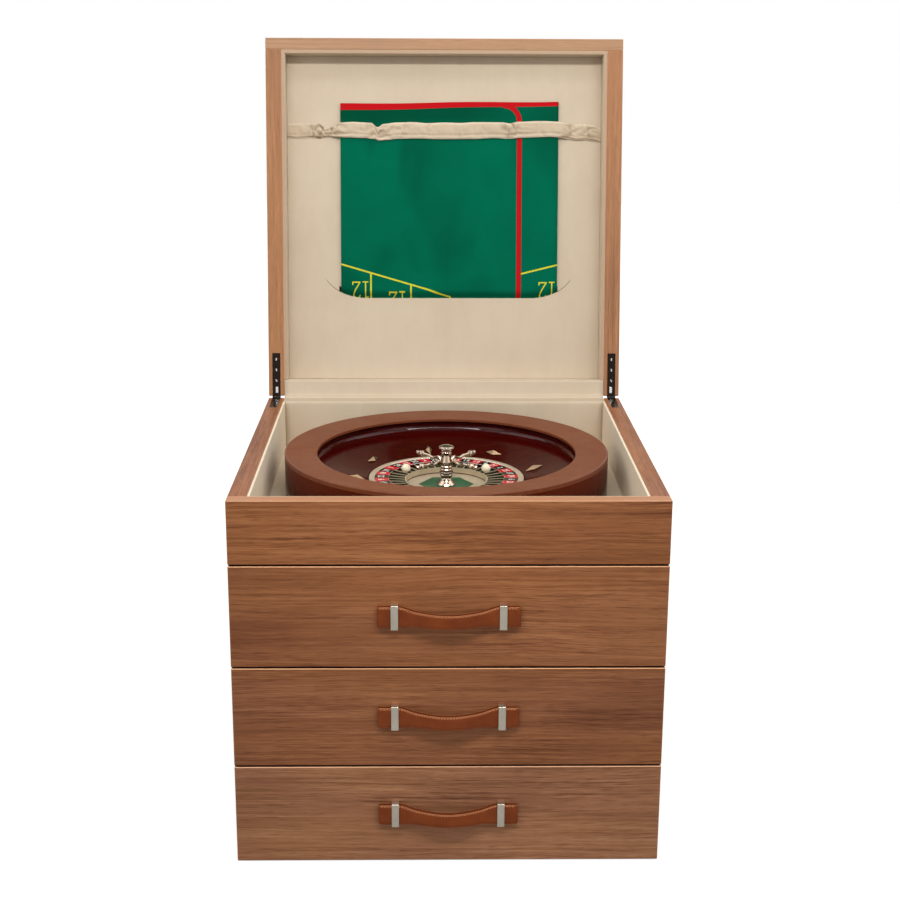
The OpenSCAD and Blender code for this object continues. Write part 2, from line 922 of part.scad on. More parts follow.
// Rotor
rotor_low = base_disc_t + rotor_lift;
number_out = rotor_r - rotor_rim_w;
number_in = number_out - number_w;
pocket_in = number_in - pocket_w;
band_z = rotor_top - 1;
floor_out = band_z - 4;
floor_in = floor_out - 2.5;
fret_z = band_z - 0.4;
fret_in_z = floor_in + 4.5;
plate_z = rotor_low + 5;
plate_t = 1.5;
disc_z = plate_z - plate_t;
ring_wall = 1.5;
plate_r = pocket_in - ring_wall;
ring_t = 2;
bush_r = 6;
thrust_gap = 0.1;

module spindle() {
    washer_r = 9;
    color(steel)
        at_wheel() {
            cylinder(r = spindle_r, h = plate_z + 26, $fn = 48);
            translate([0, 0, base_disc_t])
                cylinder(r = washer_r, h = rotor_lift - thrust_gap, $fn = 48);
        }
}

module rotor_disc() {
    color(mahogany)
        at_wheel()
            turned()
                polygon([
                    [bush_r, rotor_low], [rotor_r, rotor_low],
                    [rotor_r, rotor_top - 6], [number_out, rotor_top - 6],
                    [number_out, band_z - number_t], [number_in, band_z - number_t],
                    [number_in, floor_out - ring_t],
                    [plate_r, floor_in - ring_t], [plate_r, disc_z], [bush_r, disc_z]
                ]);
}

module rotor_bush() {
    color(bronze)
        at_wheel()
            turned(48)
                polygon([
                    [spindle_r + spindle_gap, rotor_low], [bush_r, rotor_low], [bush_r, plate_z],
                    [spindle_r + spindle_gap, plate_z]
                ]);
}

module rotor_rim() {
    ease = 1;
    color(champagne)
        at_wheel()
            turned()
                polygon(concat(
                    [[number_out, rotor_top - 6], [rotor_r, rotor_top - 6]],
                    arc(rotor_r - ease, rotor_top - ease, ease, 0, 90, 3),
                    [[number_out + 0.6, rotor_top], [number_out, rotor_top - 0.6]]
                ));
}

// One segment of the number band, counted from the green zero
module number_segment(n) {
    step = 360 / pocket_count;
    seam = 0.06;
    at_wheel()
        rotate([0, 0, 90 - step * (n + 0.5) + seam])
            rotate_extrude(angle = step - 2 * seam, $fn = 144)
                translate([number_in, band_z - number_t])
                    square([number_w, number_t]);
}

module red_numbers() {
    color([0.78, 0.06, 0.10])
        for (n = [1 : 2 : pocket_count - 1])
            number_segment(n);
}

module black_numbers() {
    color([0.05, 0.05, 0.05])
        for (n = [2 : 2 : pocket_count - 1])
            number_segment(n);
}

module green_zero() {
    color([0.05, 0.40, 0.20])
        number_segment(0);
}

// The ring of ball pockets: a sloping floor, an inner wall and one fret on each side of a pocket
module pocket_ring() {
    step = 360 / pocket_count;
    color(champagne)
        at_wheel() {
            turned()
                polygon([
                    [plate_r, floor_in - ring_t],
                    [number_in, floor_out - ring_t], [number_in, floor_out],
                    [pocket_in, floor_in], [pocket_in, fret_in_z], [plate_r, fret_in_z]
                ]);
            for (n = [0 : pocket_count - 1])
                rotate([0, 0, 90 + step * (n + 0.5)])
                    rotate([90, 0, 0])
                        linear_extrude(fret_t, center = true)
                            polygon([
                                [pocket_in - ring_wall / 2, floor_in - ring_t / 2],
                                [number_in - 0.05, floor_out - ring_t / 2],
                                [number_in - 0.05, fret_z], [pocket_in - ring_wall / 2, fret_in_z]
                            ]);
        }
}

module hexagon(r) {
    circle(r = r / cos(30), $fn = 6);
}

module rotor_plate() {
    color(champagne)
        at_wheel()
            translate([0, 0, disc_z])
                linear_extrude(plate_t)
                    difference() {
                        circle(r = plate_r, $fn = 144);
                        hexagon(inlay_r);
                    }
}

module rotor_inlay() {
    color([0.02, 0.30, 0.16])
        at_wheel()
            translate([0, 0, disc_z])
                linear_extrude(plate_t)
                    difference() {
                        hexagon(inlay_r);
                        circle(r = bush_r, $fn = 48);
                    }
}

// Turret: a turned column; each row is a radius and a height as a share of the column
turret_h = wheel_h + turret_over - plate_z;
stem_wall = 1.7;
column_rows = [
    [11.4, 0], [11.6, 0.015], [10.6, 0.045], [8.9, 0.075], [7.6, 0.1], [6.9, 0.12],
    [7.6, 0.135], [7.7, 0.15], [6.9, 0.165], [6.6, 0.185], [7.4, 0.205], [7.9, 0.23],
    [7.8, 0.255], [7.0, 0.275], [7.0, 0.285], [8.6, 0.3], [8.9, 0.32], [8.5, 0.34],
    [6.8, 0.355], [6.8, 0.365], [7.6, 0.38], [7.7, 0.395], [7.2, 0.41], [6.4, 0.42],
    [6.4, 0.43], [7.4, 0.445], [7.6, 0.465], [7.1, 0.48], [6.7, 0.49], [8.1, 0.51],
    [8.2, 0.53], [7.7, 0.58], [6.8, 0.65], [5.9, 0.715], [5.6, 0.745], [6.3, 0.76],
    [6.9, 0.78], [6.8, 0.8], [6.0, 0.815], [5.7, 0.825], [6.5, 0.84], [6.5, 0.86], [5.6, 0.885]
];
cap_low = 0.885;
cap_side = 0.93;

module turret_column() {
    z_cap = turret_h * cap_side;
    color(chrome)
        at_wheel()
            translate([0, 0, plate_z])
                difference() {
                    turned(72)
                        polygon(concat(
                            [[0, 0]],
                            [for (row = column_rows) [row[0], row[1] * turret_h]],
                            [[turret_cap_r * 0.72, (cap_low + 0.01) * turret_h]],
                            [
                                for (a = [0 : 15 : 90])
                                    [turret_cap_r * cos(a), z_cap + (turret_h - z_cap) * sin(a)]
                            ]
                        ));
                    translate([0, 0, -1])
                        cylinder(r = spindle_r + spindle_gap, h = 28, $fn = 48);
                }
}

// One arm: a round bar in an S, with a collar and two beads at its end
arm_root = 5.5;
arm_low = plate_z + 0.5 * turret_h;
bead_z = wheel_h - arm_drop;
bead_start = arm_reach - 2.45 * bead_r;
arm_sides = 12;
arm_hump = 2.6;

// Height of the arm's middle line: it climbs from the column, dips and ends level
function arm_z(t) =
    let (
        climb = min(1, t / 0.3),
        ease = climb * climb * (3 - 2 * climb),
        over = max(0, min(1, (t - 0.04) / 0.76))
    )
        arm_low + (bead_z - arm_low) * ease + arm_hump * sin(360 * pow(over, 0.8)) * (1 - 0.4 * over);

// A ring of the arm: its place along the arm, its height, its slope and its radius
bar_rings = [
    for (i = [0 : 15])
        let (t = i / 15, run = bead_start - arm_root, step = 0.01)
            [
                arm_root + run * t, arm_z(t),
                atan((arm_z(t + step) - arm_z(t - step)) / (2 * step * run)), arm_r
            ]
];

function bead_rings(at, r, from, to, steps) = [
    for (i = [0 : steps])
        let (a = from + (to - from) * i / steps)
            [at - r * cos(a), bead_z, 0, r * sin(a)]
];

finial_rings = concat(
    bead_rings(arm_reach - 1.9 * bead_r, 0.62 * bead_r, 50, 130, 4),
    bead_rings(arm_reach - 0.9 * bead_r, bead_r, 30, 150, 8),
    bead_rings(arm_reach + 0.75 * bead_r, 0.7 * bead_r, 45, 172, 8)
);

function arm_ring(row) = [
    for (i = [0 : arm_sides - 1])
        let (a = 360 * i / arm_sides)
            [
                row[0] - row[3] * sin(a) * sin(row[2]),
                row[3] * cos(a),
                row[1] + row[3] * sin(a) * cos(row[2])
            ]
];

module turret_arms() {
    color(chrome)
        at_wheel()
            for (n = [0 : 3])
                rotate([0, 0, 45 + 90 * n])
                    tube([for (row = concat(bar_rings, finial_rings)) arm_ring(row)], arm_sides);
}

// Two balls, each resting on the edges of two neighbouring frets
module roulette_balls() {
    step = 360 / pocket_count;
    at = (pocket_in + number_in) / 2 - 2.5;
    fret_top = fret_in_z + (fret_z - fret_in_z) * (at - pocket_in) / pocket_w;
    half = at * sin(step / 2) - fret_t / 2;
    rest_gap = 0.08;
    color(ivory)
        at_wheel()
            for (n = [6, -6])
                rotate([0, 0, 90 + step * n])
                    translate([at, 0, fret_top + sqrt(ball_r * ball_r - half * half) + rest_gap])
                        sphere(r = ball_r, $fn = 48);
}

// Drawers, counted from the top
box_x = x_in - box_side_gap;
groove_d = runner_grip + 0.5;
stud_fit = 0.05;

function drawer_z(n) = z_tray - n * drawer_pitch;

function handle_z(n) = drawer_z(n) + drawer_front_h / 2 + 2;

function runner_z(n) = drawer_z(n) + box_rise + box_h / 2;

module drawer_runners() {
    color(birch)
        for (n = [1 : drawer_count])
            both_sides()
                block([box_x - runner_grip, y_box + 5, runner_z(n) - runner_h / 2],
                      [x_in, y_wall - 5, runner_z(n) + runner_h / 2]);
}

module bracket_places(n) {
    for (side = [-1, 1])
        translate([side * bracket_pitch / 2, y_front, handle_z(n)])
            children();
}

module drawer_front(n) {
    color(walnut)
        difference() {
            board([-x_out, y_front, drawer_z(n)], [x_out, y_box, drawer_z(n) + drawer_front_h]);
            bracket_places(n)
                bracket_studs(stud_r + stud_fit, stud_l + 0.5);
        }
}

module drawer_box(n) {
    z0 = drawer_z(n) + box_rise;
    y1 = y_box + box_d;
    groove_h = runner_h + 2 * runner_gap;
    color(birch)
        difference() {
            block([-box_x, y_box, z0], [box_x, y1, z0 + box_h]);
            block(
                [-box_x + box_t, y_box + box_t, z0 + box_floor_t + 3],
                [box_x - box_t, y1 - box_t, z0 + box_h + 1]
            );
            block([-box_x + box_t, y_box + box_t, z0 - 1], [box_x - box_t, y1 - box_t, z0 + 3]);
            both_sides()
                block([box_x - groove_d, y_box + 4, runner_z(n) - groove_h / 2],
                      [box_x + 1, y1 + 1, runner_z(n) + groove_h / 2]);
        }
}

module drawer_lining(n) {
    z0 = drawer_z(n) + box_rise + box_floor_t + 3;
    z1 = drawer_z(n) + box_rise + box_h - box_lining_drop;
    lo = [-box_x + box_t, y_box + box_t, z0];
    hi = [box_x - box_t, y_box + box_d - box_t, z1];
    wall = [box_lining_t, box_lining_t, 0];
    color(suede)
        difference() {
            block(lo, hi);
            block(lo + wall + [0, 0, box_lining_t], hi - wall + [0, 0, 1]);
        }
}

// Handle: a padded strap that bows out between two square brackets
strap_flat = (bracket_pitch - bracket_w) / 2 - 1;

function strap_out(x) = abs(x) >= strap_flat ? 0 : strap_bow * pow(cos(90 * x / strap_flat), 1.5);

function strap_half(x) =
    let (dip = (strap_h - strap_mid_h) / 2)
        strap_h / 2 - (abs(x) >= strap_flat ? 0 : dip * cos(90 * x / strap_flat));

strap_stations = concat(
    [-strap_l / 2],
    [for (i = [0 : 32]) strap_flat * (i / 16 - 1)],
    [strap_l / 2]
);

module strap_handle(n) {
    corner = 2;
    color(tan_leather)
        translate([0, y_front, handle_z(n)])
            intersection() {
                translate([0, 0, -strap_h / 2])
                    linear_extrude(strap_h)
                        polygon(concat(
                            [for (x = strap_stations) [x, -strap_gap - strap_out(x)]],
                            [for (x = reversed(strap_stations)) [x, -strap_gap - strap_t - strap_out(x)]]
                        ));
                rotate([90, 0, 0])
                    linear_extrude(strap_bow + strap_t + 2)
                        polygon(concat(
                            arc(-strap_l / 2 + corner, strap_h / 2 - corner, corner, 180, 90, 4),
                            [
                                for (x = strap_stations)
                                    if (abs(x) < strap_l / 2 - corner) [x, strap_half(x)]
                            ],
                            arc(strap_l / 2 - corner, strap_h / 2 - corner, corner, 90, 0, 4),
                            arc(strap_l / 2 - corner, -strap_h / 2 + corner, corner, 0, -90, 4),
                            [
                                for (x = reversed(strap_stations))
                                    if (abs(x) < strap_l / 2 - corner) [x, -strap_half(x)]
                            ],
                            arc(-strap_l / 2 + corner, -strap_h / 2 + corner, corner, -90, -180, 4)
                        ));
            }
}

// A square staple over the strap, with its feet on the drawer front
bracket_h = strap_h + 2 * (strap_gap + bracket_t);
bracket_d = strap_t + 2 * strap_gap + bracket_t;

module bracket_studs(r, l) {
    for (side = [-1, 1])
        translate([0, 0, side * (bracket_h / 2 - stud_r - 0.3)])
            rotate([-90, 0, 0])
                cylinder(r = r, h = l, $fn = 32);
}

module bracket() {
    difference() {
        board([-bracket_w / 2, -bracket_d, -bracket_h / 2], [bracket_w / 2, 0, bracket_h / 2], 0.3);
        block([-bracket_w, -bracket_d + bracket_t, -bracket_h / 2 + bracket_t],
              [bracket_w, 1, bracket_h / 2 - bracket_t]);
    }
    translate([0, 0.1 - strap_gap, 0])
        bracket_studs(stud_r, stud_l + strap_gap - 0.1);
}

module handle_brackets(n) {
    color(steel)
        bracket_places(n)
            bracket();
}

left_side();
right_side();
back_panel();
base_panel();
drawer_dividers();
tray_front();
tray_floor();
tray_lining();
tray_floor_lining();
base_felt();
drawer_runners();
case_hinge_leaves();
hinge_pins();
case_hinge_screws();
hinge_cover_case();
lid_front_rail();
lid_rear_rail();
lid_side_rails();
lid_top_panel();
lid_lip();
lid_lining_panel();
lining_battens();
lid_hinge_leaves();
lid_hinge_screws();
hinge_cover_lid();
elastic_strap();
layout_cloth();
wheel_rim();
wheel_bowl();
wheel_apron();
wheel_base();
deflectors();
spindle();
rotor_disc();
rotor_bush();
rotor_rim();
red_numbers();
black_numbers();
green_zero();
pocket_ring();
rotor_plate();
rotor_inlay();
turret_column();
turret_arms();
roulette_balls();
drawer_front(1);  // drawer_1_front
drawer_box(1);  // drawer_1_box
drawer_lining(1);  // drawer_1_lining
strap_handle(1);  // drawer_1_handle
handle_brackets(1);  // drawer_1_brackets
drawer_front(2);  // drawer_2_front
drawer_box(2);  // drawer_2_box
drawer_lining(2);  // drawer_2_lining
strap_handle(2);  // drawer_2_handle
handle_brackets(2);  // drawer_2_brackets
drawer_front(3);  // drawer_3_front
drawer_box(3);  // drawer_3_box
drawer_lining(3);  // drawer_3_lining
strap_handle(3);  // drawer_3_handle
handle_brackets(3);  // drawer_3_brackets
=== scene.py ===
import json
import math
import bpy
from mathutils import Matrix, Vector, noise


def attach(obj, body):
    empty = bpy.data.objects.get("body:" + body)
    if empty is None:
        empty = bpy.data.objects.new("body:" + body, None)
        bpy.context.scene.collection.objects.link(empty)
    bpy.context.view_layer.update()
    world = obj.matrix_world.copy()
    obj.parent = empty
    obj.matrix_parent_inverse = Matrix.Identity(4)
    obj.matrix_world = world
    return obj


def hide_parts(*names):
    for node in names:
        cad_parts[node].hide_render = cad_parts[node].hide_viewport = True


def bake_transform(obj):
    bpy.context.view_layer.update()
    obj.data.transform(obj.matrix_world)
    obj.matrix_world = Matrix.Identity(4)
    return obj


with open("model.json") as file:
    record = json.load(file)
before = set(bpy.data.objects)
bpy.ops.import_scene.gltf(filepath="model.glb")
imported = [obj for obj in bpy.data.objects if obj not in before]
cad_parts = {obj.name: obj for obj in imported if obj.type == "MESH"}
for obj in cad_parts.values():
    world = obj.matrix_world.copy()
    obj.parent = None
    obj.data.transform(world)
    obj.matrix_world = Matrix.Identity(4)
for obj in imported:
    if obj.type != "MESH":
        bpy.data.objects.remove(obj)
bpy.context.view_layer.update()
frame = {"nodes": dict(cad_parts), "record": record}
nodes = frame["nodes"]
scene = bpy.context.scene
print("frame loaded:", len(nodes), "nodes")

# ---- camera and light ----

cameraSetup = {
    "lens": 61.6,
    "sensor": 36,
    "place": (-0.0270, -1.8925, 0.9547),
    "yaw": 0.955,
    "pitch": 15.218,
    "roll": 0.256,
}
lightSetup = {
    "ambient": 0.3,
    "lamps": [
        # name, place, aim, width and height, power
        ("softBoxAbove", (0.06, -1.30, 1.92), (0, 0, 0.42), (2.1, 0.15), 28),
        ("softBoxLeft", (-2.3, -2.6, 1.5), (0, 0, 0.45), (1.8, 1.8), 14),
        ("softBoxRight", (2.4, -2.5, 1.4), (0, 0, 0.45), (1.9, 1.9), 14),
        ("trayLampLeft", (-1.45, 0.1, 1.9), (0, 0, 0.42), (1.5, 1.5), 14),
        ("trayLampRight", (1.45, 0.1, 1.9), (0, 0, 0.42), (1.5, 1.5), 14),
        ("topLamp", (0.05, -0.45, 2.3), (0, 0, 0.42), (0.3, 0.3), 3.5),
    ],
}


def makeCamera(setup):
    yaw, pitch, roll = (math.radians(setup[key]) for key in ("yaw", "pitch", "roll"))
    ahead = Vector((math.sin(yaw) * math.cos(pitch), math.cos(yaw) * math.cos(pitch), -math.sin(pitch)))
    side = Vector((math.cos(yaw), -math.sin(yaw), 0))
    top = side.cross(ahead)
    sideRolled = math.cos(roll) * side + math.sin(roll) * top
    topRolled = -math.sin(roll) * side + math.cos(roll) * top
    data = bpy.data.cameras.new("camera")
    data.lens = setup["lens"]
    data.sensor_width = setup["sensor"]
    camera = bpy.data.objects.new("camera", data)
    scene.collection.objects.link(camera)
    turn = Matrix((sideRolled, topRolled, -ahead)).transposed().to_4x4()
    camera.matrix_world = Matrix.Translation(setup["place"]) @ turn
    scene.camera = camera


def makeLamps(setup):
    for name, place, aim, size, power in setup["lamps"]:
        data = bpy.data.lights.new(name, "AREA")
        data.energy = power
        data.shape = "RECTANGLE"
        data.size, data.size_y = size
        lamp = bpy.data.objects.new(name, data)
        scene.collection.objects.link(lamp)
        lamp.location = place
        lamp.rotation_mode = "QUATERNION"
        lamp.rotation_quaternion = (Vector(aim) - Vector(place)).to_track_quat("-Z", "Y")


makeCamera(cameraSetup)
makeLamps(lightSetup)
scene.view_settings.view_transform = "Standard"
print("camera and lamps placed")

# ---- small helpers for shader nodes ----


def paint(red, green, blue):  # a colour as seen on a screen, 0 to 255
    return tuple(
        value / 12.92 if value <= 0.04045 else ((value + 0.055) / 1.055) ** 2.4
        for value in (red / 255, green / 255, blue / 255)
    )


def addNode(tree, kind, sockets=None, **settings):
    node = tree.nodes.new(kind)
    for key, value in settings.items():
        setattr(node, key, value)
    for key, value in (sockets or {}).items():
        if isinstance(value, bpy.types.NodeSocket):
            tree.links.new(value, node.inputs[key])
        elif isinstance(value, (tuple, list)) and node.inputs[key].type == "RGBA" and len(value) == 3:
            node.inputs[key].default_value = (*value, 1)
        else:
            node.inputs[key].default_value = value
    return node


def calc(tree, operation, a, b=0.5, clamp=False):
    return addNode(tree, "ShaderNodeMath", {0: a, 1: b}, operation=operation, use_clamp=clamp).outputs[0]


def vectorCalc(tree, operation, a, b=(0, 0, 0)):
    return addNode(tree, "ShaderNodeVectorMath", {0: a, 1: b}, operation=operation).outputs[0]


def noiseAt(tree, vector, scale, detail=2.0, roughness=0.5, distortion=0.0):
    sockets = {"Vector": vector, "Scale": scale, "Detail": detail, "Roughness": roughness, "Distortion": distortion}
    return addNode(tree, "ShaderNodeTexNoise", sockets).outputs[0]


def mapRange(tree, value, low, high, toLow=0.0, toHigh=1.0, kind="LINEAR"):
    sockets = {0: value, 1: low, 2: high, 3: toLow, 4: toHigh}
    return addNode(tree, "ShaderNodeMapRange", sockets, interpolation_type=kind).outputs[0]


def mixColor(tree, factor, a, b, mode="MIX"):
    sockets = {0: factor, 6: a, 7: b}
    return addNode(tree, "ShaderNodeMix", sockets, data_type="RGBA", blend_type=mode).outputs[2]


def newGroup(name, inputs, outputs):
    group = bpy.data.node_groups.new(name, "ShaderNodeTree")
    kinds = {"vector": "NodeSocketVector", "color": "NodeSocketColor", "value": "NodeSocketFloat"}
    for label, kind, value in inputs:
        socket = group.interface.new_socket(name=label, in_out="INPUT", socket_type=kinds[kind])
        if kind == "color":
            socket.default_value = (*value, 1)
        elif kind == "value":
            socket.default_value = value
    for label, kind in outputs:
        group.interface.new_socket(name=label, in_out="OUTPUT", socket_type=kinds[kind])
    return group, group.nodes.new("NodeGroupInput").outputs, group.nodes.new("NodeGroupOutput").inputs



def placeGroup(tree, group, sockets):
    node = tree.nodes.new("ShaderNodeGroup")
    node.node_tree = group
    for key, value in sockets.items():
        if isinstance(value, bpy.types.NodeSocket):
            tree.links.new(value, node.inputs[key])
        elif isinstance(value, (tuple, list)) and node.inputs[key].type == "RGBA":
            node.inputs[key].default_value = (*value[:3], 1)
        else:
            node.inputs[key].default_value = value
    return node.outputs


def newMaterial(name, **sockets):
    material = bpy.data.materials.new(name)
    material.use_nodes = True
    shader = material.node_tree.nodes["Principled BSDF"]
    for key, value in sockets.items():
        key = key.replace("_", " ")
        if shader.inputs[key].type == "RGBA":
            value = (*value, 1)
        shader.inputs[key].default_value = value
    return material, material.node_tree, shader


def objectPlace(tree, location=(0, 0, 0), rotation=(0, 0, 0)):  # object coordinates, shifted and turned
    coordinates = addNode(tree, "ShaderNodeTexCoord")
    turn = tuple(math.radians(angle) for angle in rotation)
    sockets = {"Vector": coordinates.outputs["Object"], "Location": location, "Rotation": turn}
    return addNode(tree, "ShaderNodeMapping", sockets).outputs[0], coordinates, turn


def bumpTo(tree, shader, height, strength, distance):
    bump = addNode(tree, "ShaderNodeBump", {"Strength": strength, "Distance": distance, "Height": height})
    tree.links.new(bump.outputs[0], shader.inputs["Normal"])


# ---- effects that several finishes share ----


def makeWoodGrain():  # the grain runs along X; the vector is in metres
    group, given, out = newGroup(
        "woodGrain",
        [("Vector", "vector", None), ("Light", "color", (0.4, 0.2, 0.1)), ("Middle", "color", (0.3, 0.15, 0.08)),
         ("Dark", "color", (0.1, 0.05, 0.03)), ("Gold", "color", (0.3, 0.15, 0.08)), ("Figure", "value", 1.0), ("Pores", "value", 0.4)],
        [("Color", "color"), ("Height", "value"), ("Tone", "value")],
    )
    tree = group
    vector = given["Vector"]
    drift = noiseAt(tree, vectorCalc(tree, "MULTIPLY", vector, (3.5, 6, 6)), 1.0, 2.0)
    lifted = addNode(tree, "ShaderNodeCombineXYZ", {0: 0.0, 1: 0.0, 2: calc(tree, "MULTIPLY", drift, 0.02)}).outputs[0]
    waved = vectorCalc(tree, "ADD", vector, lifted)
    bands = noiseAt(tree, vectorCalc(tree, "MULTIPLY", waved, (1.7, 75, 75)), 1.0, 3.0, 0.6)
    lines = noiseAt(tree, vectorCalc(tree, "MULTIPLY", waved, (7, 330, 330)), 1.0, 3.0, 0.62)
    fibres = noiseAt(tree, vectorCalc(tree, "MULTIPLY", waved, (40, 1000, 1000)), 1.0, 2.0, 0.6)
    patches = noiseAt(tree, vectorCalc(tree, "MULTIPLY", vector, (4, 9, 9)), 1.0, 2.0)
    calm = mapRange(tree, noiseAt(tree, vectorCalc(tree, "MULTIPLY", waved, (6, 26, 26)), 1.0, 1.0), 0.35, 0.65, 0.45, 1.2)
    detail = calc(tree, "MULTIPLY", calc(tree, "SUBTRACT", bands, 0.5), 1.15)
    detail = calc(tree, "ADD", detail, calc(tree, "MULTIPLY", calc(tree, "SUBTRACT", lines, 0.5), 2.2))
    detail = calc(tree, "ADD", detail, calc(tree, "MULTIPLY", calc(tree, "SUBTRACT", fibres, 0.5), 1.5))
    tone = calc(tree, "ADD", calc(tree, "MULTIPLY", detail, calm), calc(tree, "MULTIPLY", calc(tree, "SUBTRACT", patches, 0.5), 0.9))
    tone = calc(tree, "ADD", calc(tree, "MULTIPLY", tone, given["Figure"]), 0.5, clamp=True)
    color = mixColor(tree, mapRange(tree, tone, 0.0, 0.5), given["Dark"], given["Middle"])
    color = mixColor(tree, mapRange(tree, tone, 0.5, 1.0), color, given["Light"])
    warm = noiseAt(tree, vectorCalc(tree, "MULTIPLY", vector, (3, 13, 13)), 1.0, 2.0)
    color = mixColor(tree, mapRange(tree, warm, 0.45, 0.7, 0.0, 0.4), color, given["Gold"])
    pores = noiseAt(tree, vectorCalc(tree, "MULTIPLY", waved, (38, 1200, 1200)), 1.0, 1.0)
    pores = calc(tree, "MULTIPLY", mapRange(tree, pores, 0.6, 0.7, kind="SMOOTHSTEP"), given["Pores"])
    flecks = noiseAt(tree, vectorCalc(tree, "MULTIPLY", waved, (15, 520, 520)), 1.0, 1.0)
    flecks = calc(tree, "MULTIPLY", mapRange(tree, flecks, 0.67, 0.74, kind="SMOOTHSTEP"), given["Pores"])
    color = mixColor(tree, calc(tree, "ADD", pores, flecks, clamp=True), color, given["Dark"])
    tree.links.new(color, out["Color"])
    height = calc(tree, "SUBTRACT", calc(tree, "MULTIPLY", fibres, 0.5), pores)
    tree.links.new(height, out["Height"])
    tree.links.new(tone, out["Tone"])
    return group


def makeEasedEdge():  # 1 on the eased edges of a board, whose normals point between the main directions
    group, given, out = newGroup("easedEdge", [("Normal", "vector", None)], [("Mask", "value")])
    parts = addNode(group, "ShaderNodeSeparateXYZ", {0: vectorCalc(group, "ABSOLUTE", given["Normal"])}).outputs
    largest = calc(group, "MAXIMUM", calc(group, "MAXIMUM", parts[0], parts[1]), parts[2])
    group.links.new(mapRange(group, largest, 0.97, 0.86, kind="SMOOTHSTEP"), out["Mask"])
    return group


def makeSuedeNap():  # brushed cloth: cloudy shading, short strokes and fine nap
    group, given, out = newGroup(
        "suedeNap",
        [("Vector", "vector", None), ("Color", "color", (0.6, 0.5, 0.4)), ("Shade", "color", (0.5, 0.4, 0.3)),
         ("Clouds", "value", 0.5), ("Nap", "value", 0.5)],
        [("Color", "color"), ("Height", "value")],
    )
    vector = given["Vector"]
    clouds = noiseAt(group, vector, 9.0, 4.0, 0.6, 0.4)
    strokes = noiseAt(group, vectorCalc(group, "MULTIPLY", vector, (60, 22, 22)), 1.0, 3.0, 0.6, 0.5)
    nap = noiseAt(group, vector, 1500.0, 2.0, 0.7)
    shade = calc(group, "MULTIPLY", mapRange(group, clouds, 0.35, 0.68), given["Clouds"])
    shade = calc(group, "ADD", shade, calc(group, "MULTIPLY", mapRange(group, strokes, 0.4, 0.75), calc(group, "MULTIPLY", given["Clouds"], 0.6)))
    shade = calc(group, "ADD", shade, calc(group, "MULTIPLY", mapRange(group, nap, 0.45, 0.8), given["Nap"]), clamp=True)
    group.links.new(mixColor(group, shade, given["Color"], given["Shade"]), out["Color"])
    group.links.new(calc(group, "ADD", calc(group, "MULTIPLY", nap, 0.6), calc(group, "MULTIPLY", strokes, 0.6)), out["Height"])
    return group


def makeSmudges():  # uneven gloss, as from handling and polishing
    group, given, out = newGroup(
        "smudges",
        [("Vector", "vector", None), ("Size", "value", 40.0), ("Low", "value", 0.1), ("High", "value", 0.3)],
        [("Roughness", "value"), ("Height", "value")],
    )
    clouds = noiseAt(group, given["Vector"], given["Size"], 4.0, 0.6, 0.6)
    fine = noiseAt(group, given["Vector"], calc(group, "MULTIPLY", given["Size"], 14.0), 3.0, 0.6)
    both = calc(group, "ADD", calc(group, "MULTIPLY", clouds, 0.7), calc(group, "MULTIPLY", fine, 0.3))
    span = calc(group, "SUBTRACT", given["High"], given["Low"])
    rough = calc(group, "ADD", given["Low"], calc(group, "MULTIPLY", mapRange(group, both, 0.35, 0.65), span))
    group.links.new(rough, out["Roughness"])
    group.links.new(fine, out["Height"])
    return group


def makeLineMask():  # 1 on a straight printed line from A to B
    group, given, out = newGroup(
        "printedLine",
        [("Vector", "vector", None), ("A", "vector", None), ("B", "vector", None), ("Half Width", "value", 0.001)],
        [("Mask", "value")],
    )
    along = vectorCalc(group, "SUBTRACT", given["B"], given["A"])
    away = vectorCalc(group, "SUBTRACT", given["Vector"], given["A"])
    dots = [addNode(group, "ShaderNodeVectorMath", {0: v, 1: along}, operation="DOT_PRODUCT").outputs["Value"] for v in (away, along)]
    share = calc(group, "DIVIDE", dots[0], dots[1], clamp=True)
    onLine = addNode(group, "ShaderNodeVectorMath", {0: along, "Scale": share}, operation="SCALE").outputs[0]
    gap = addNode(group, "ShaderNodeVectorMath", {0: vectorCalc(group, "SUBTRACT", away, onLine)}, operation="LENGTH").outputs["Value"]
    edge = calc(group, "SUBTRACT", gap, given["Half Width"])
    group.links.new(mapRange(group, edge, 0.00018, -0.00018), out["Mask"])
    return group


woodGrain = makeWoodGrain()
easedEdge = makeEasedEdge()
suedeNap = makeSuedeNap()
smudges = makeSmudges()
printedLine = makeLineMask()
print("shared effects built")

# ---- finishes ----

lidTilt = 99.12  # degrees that the lid stands open

walnutLook = {
    "light": paint(166, 112, 74),
    "middle": paint(137, 86, 54),
    "dark": paint(88, 47, 26),
    # edge: the colour of the painted highlight on the eased edges
    "edge": paint(190, 140, 100),
    "pale": paint(208, 160, 118),
    "gold": paint(156, 100, 54),
    "figure": 0.82,
    "pores": 0.5,
}


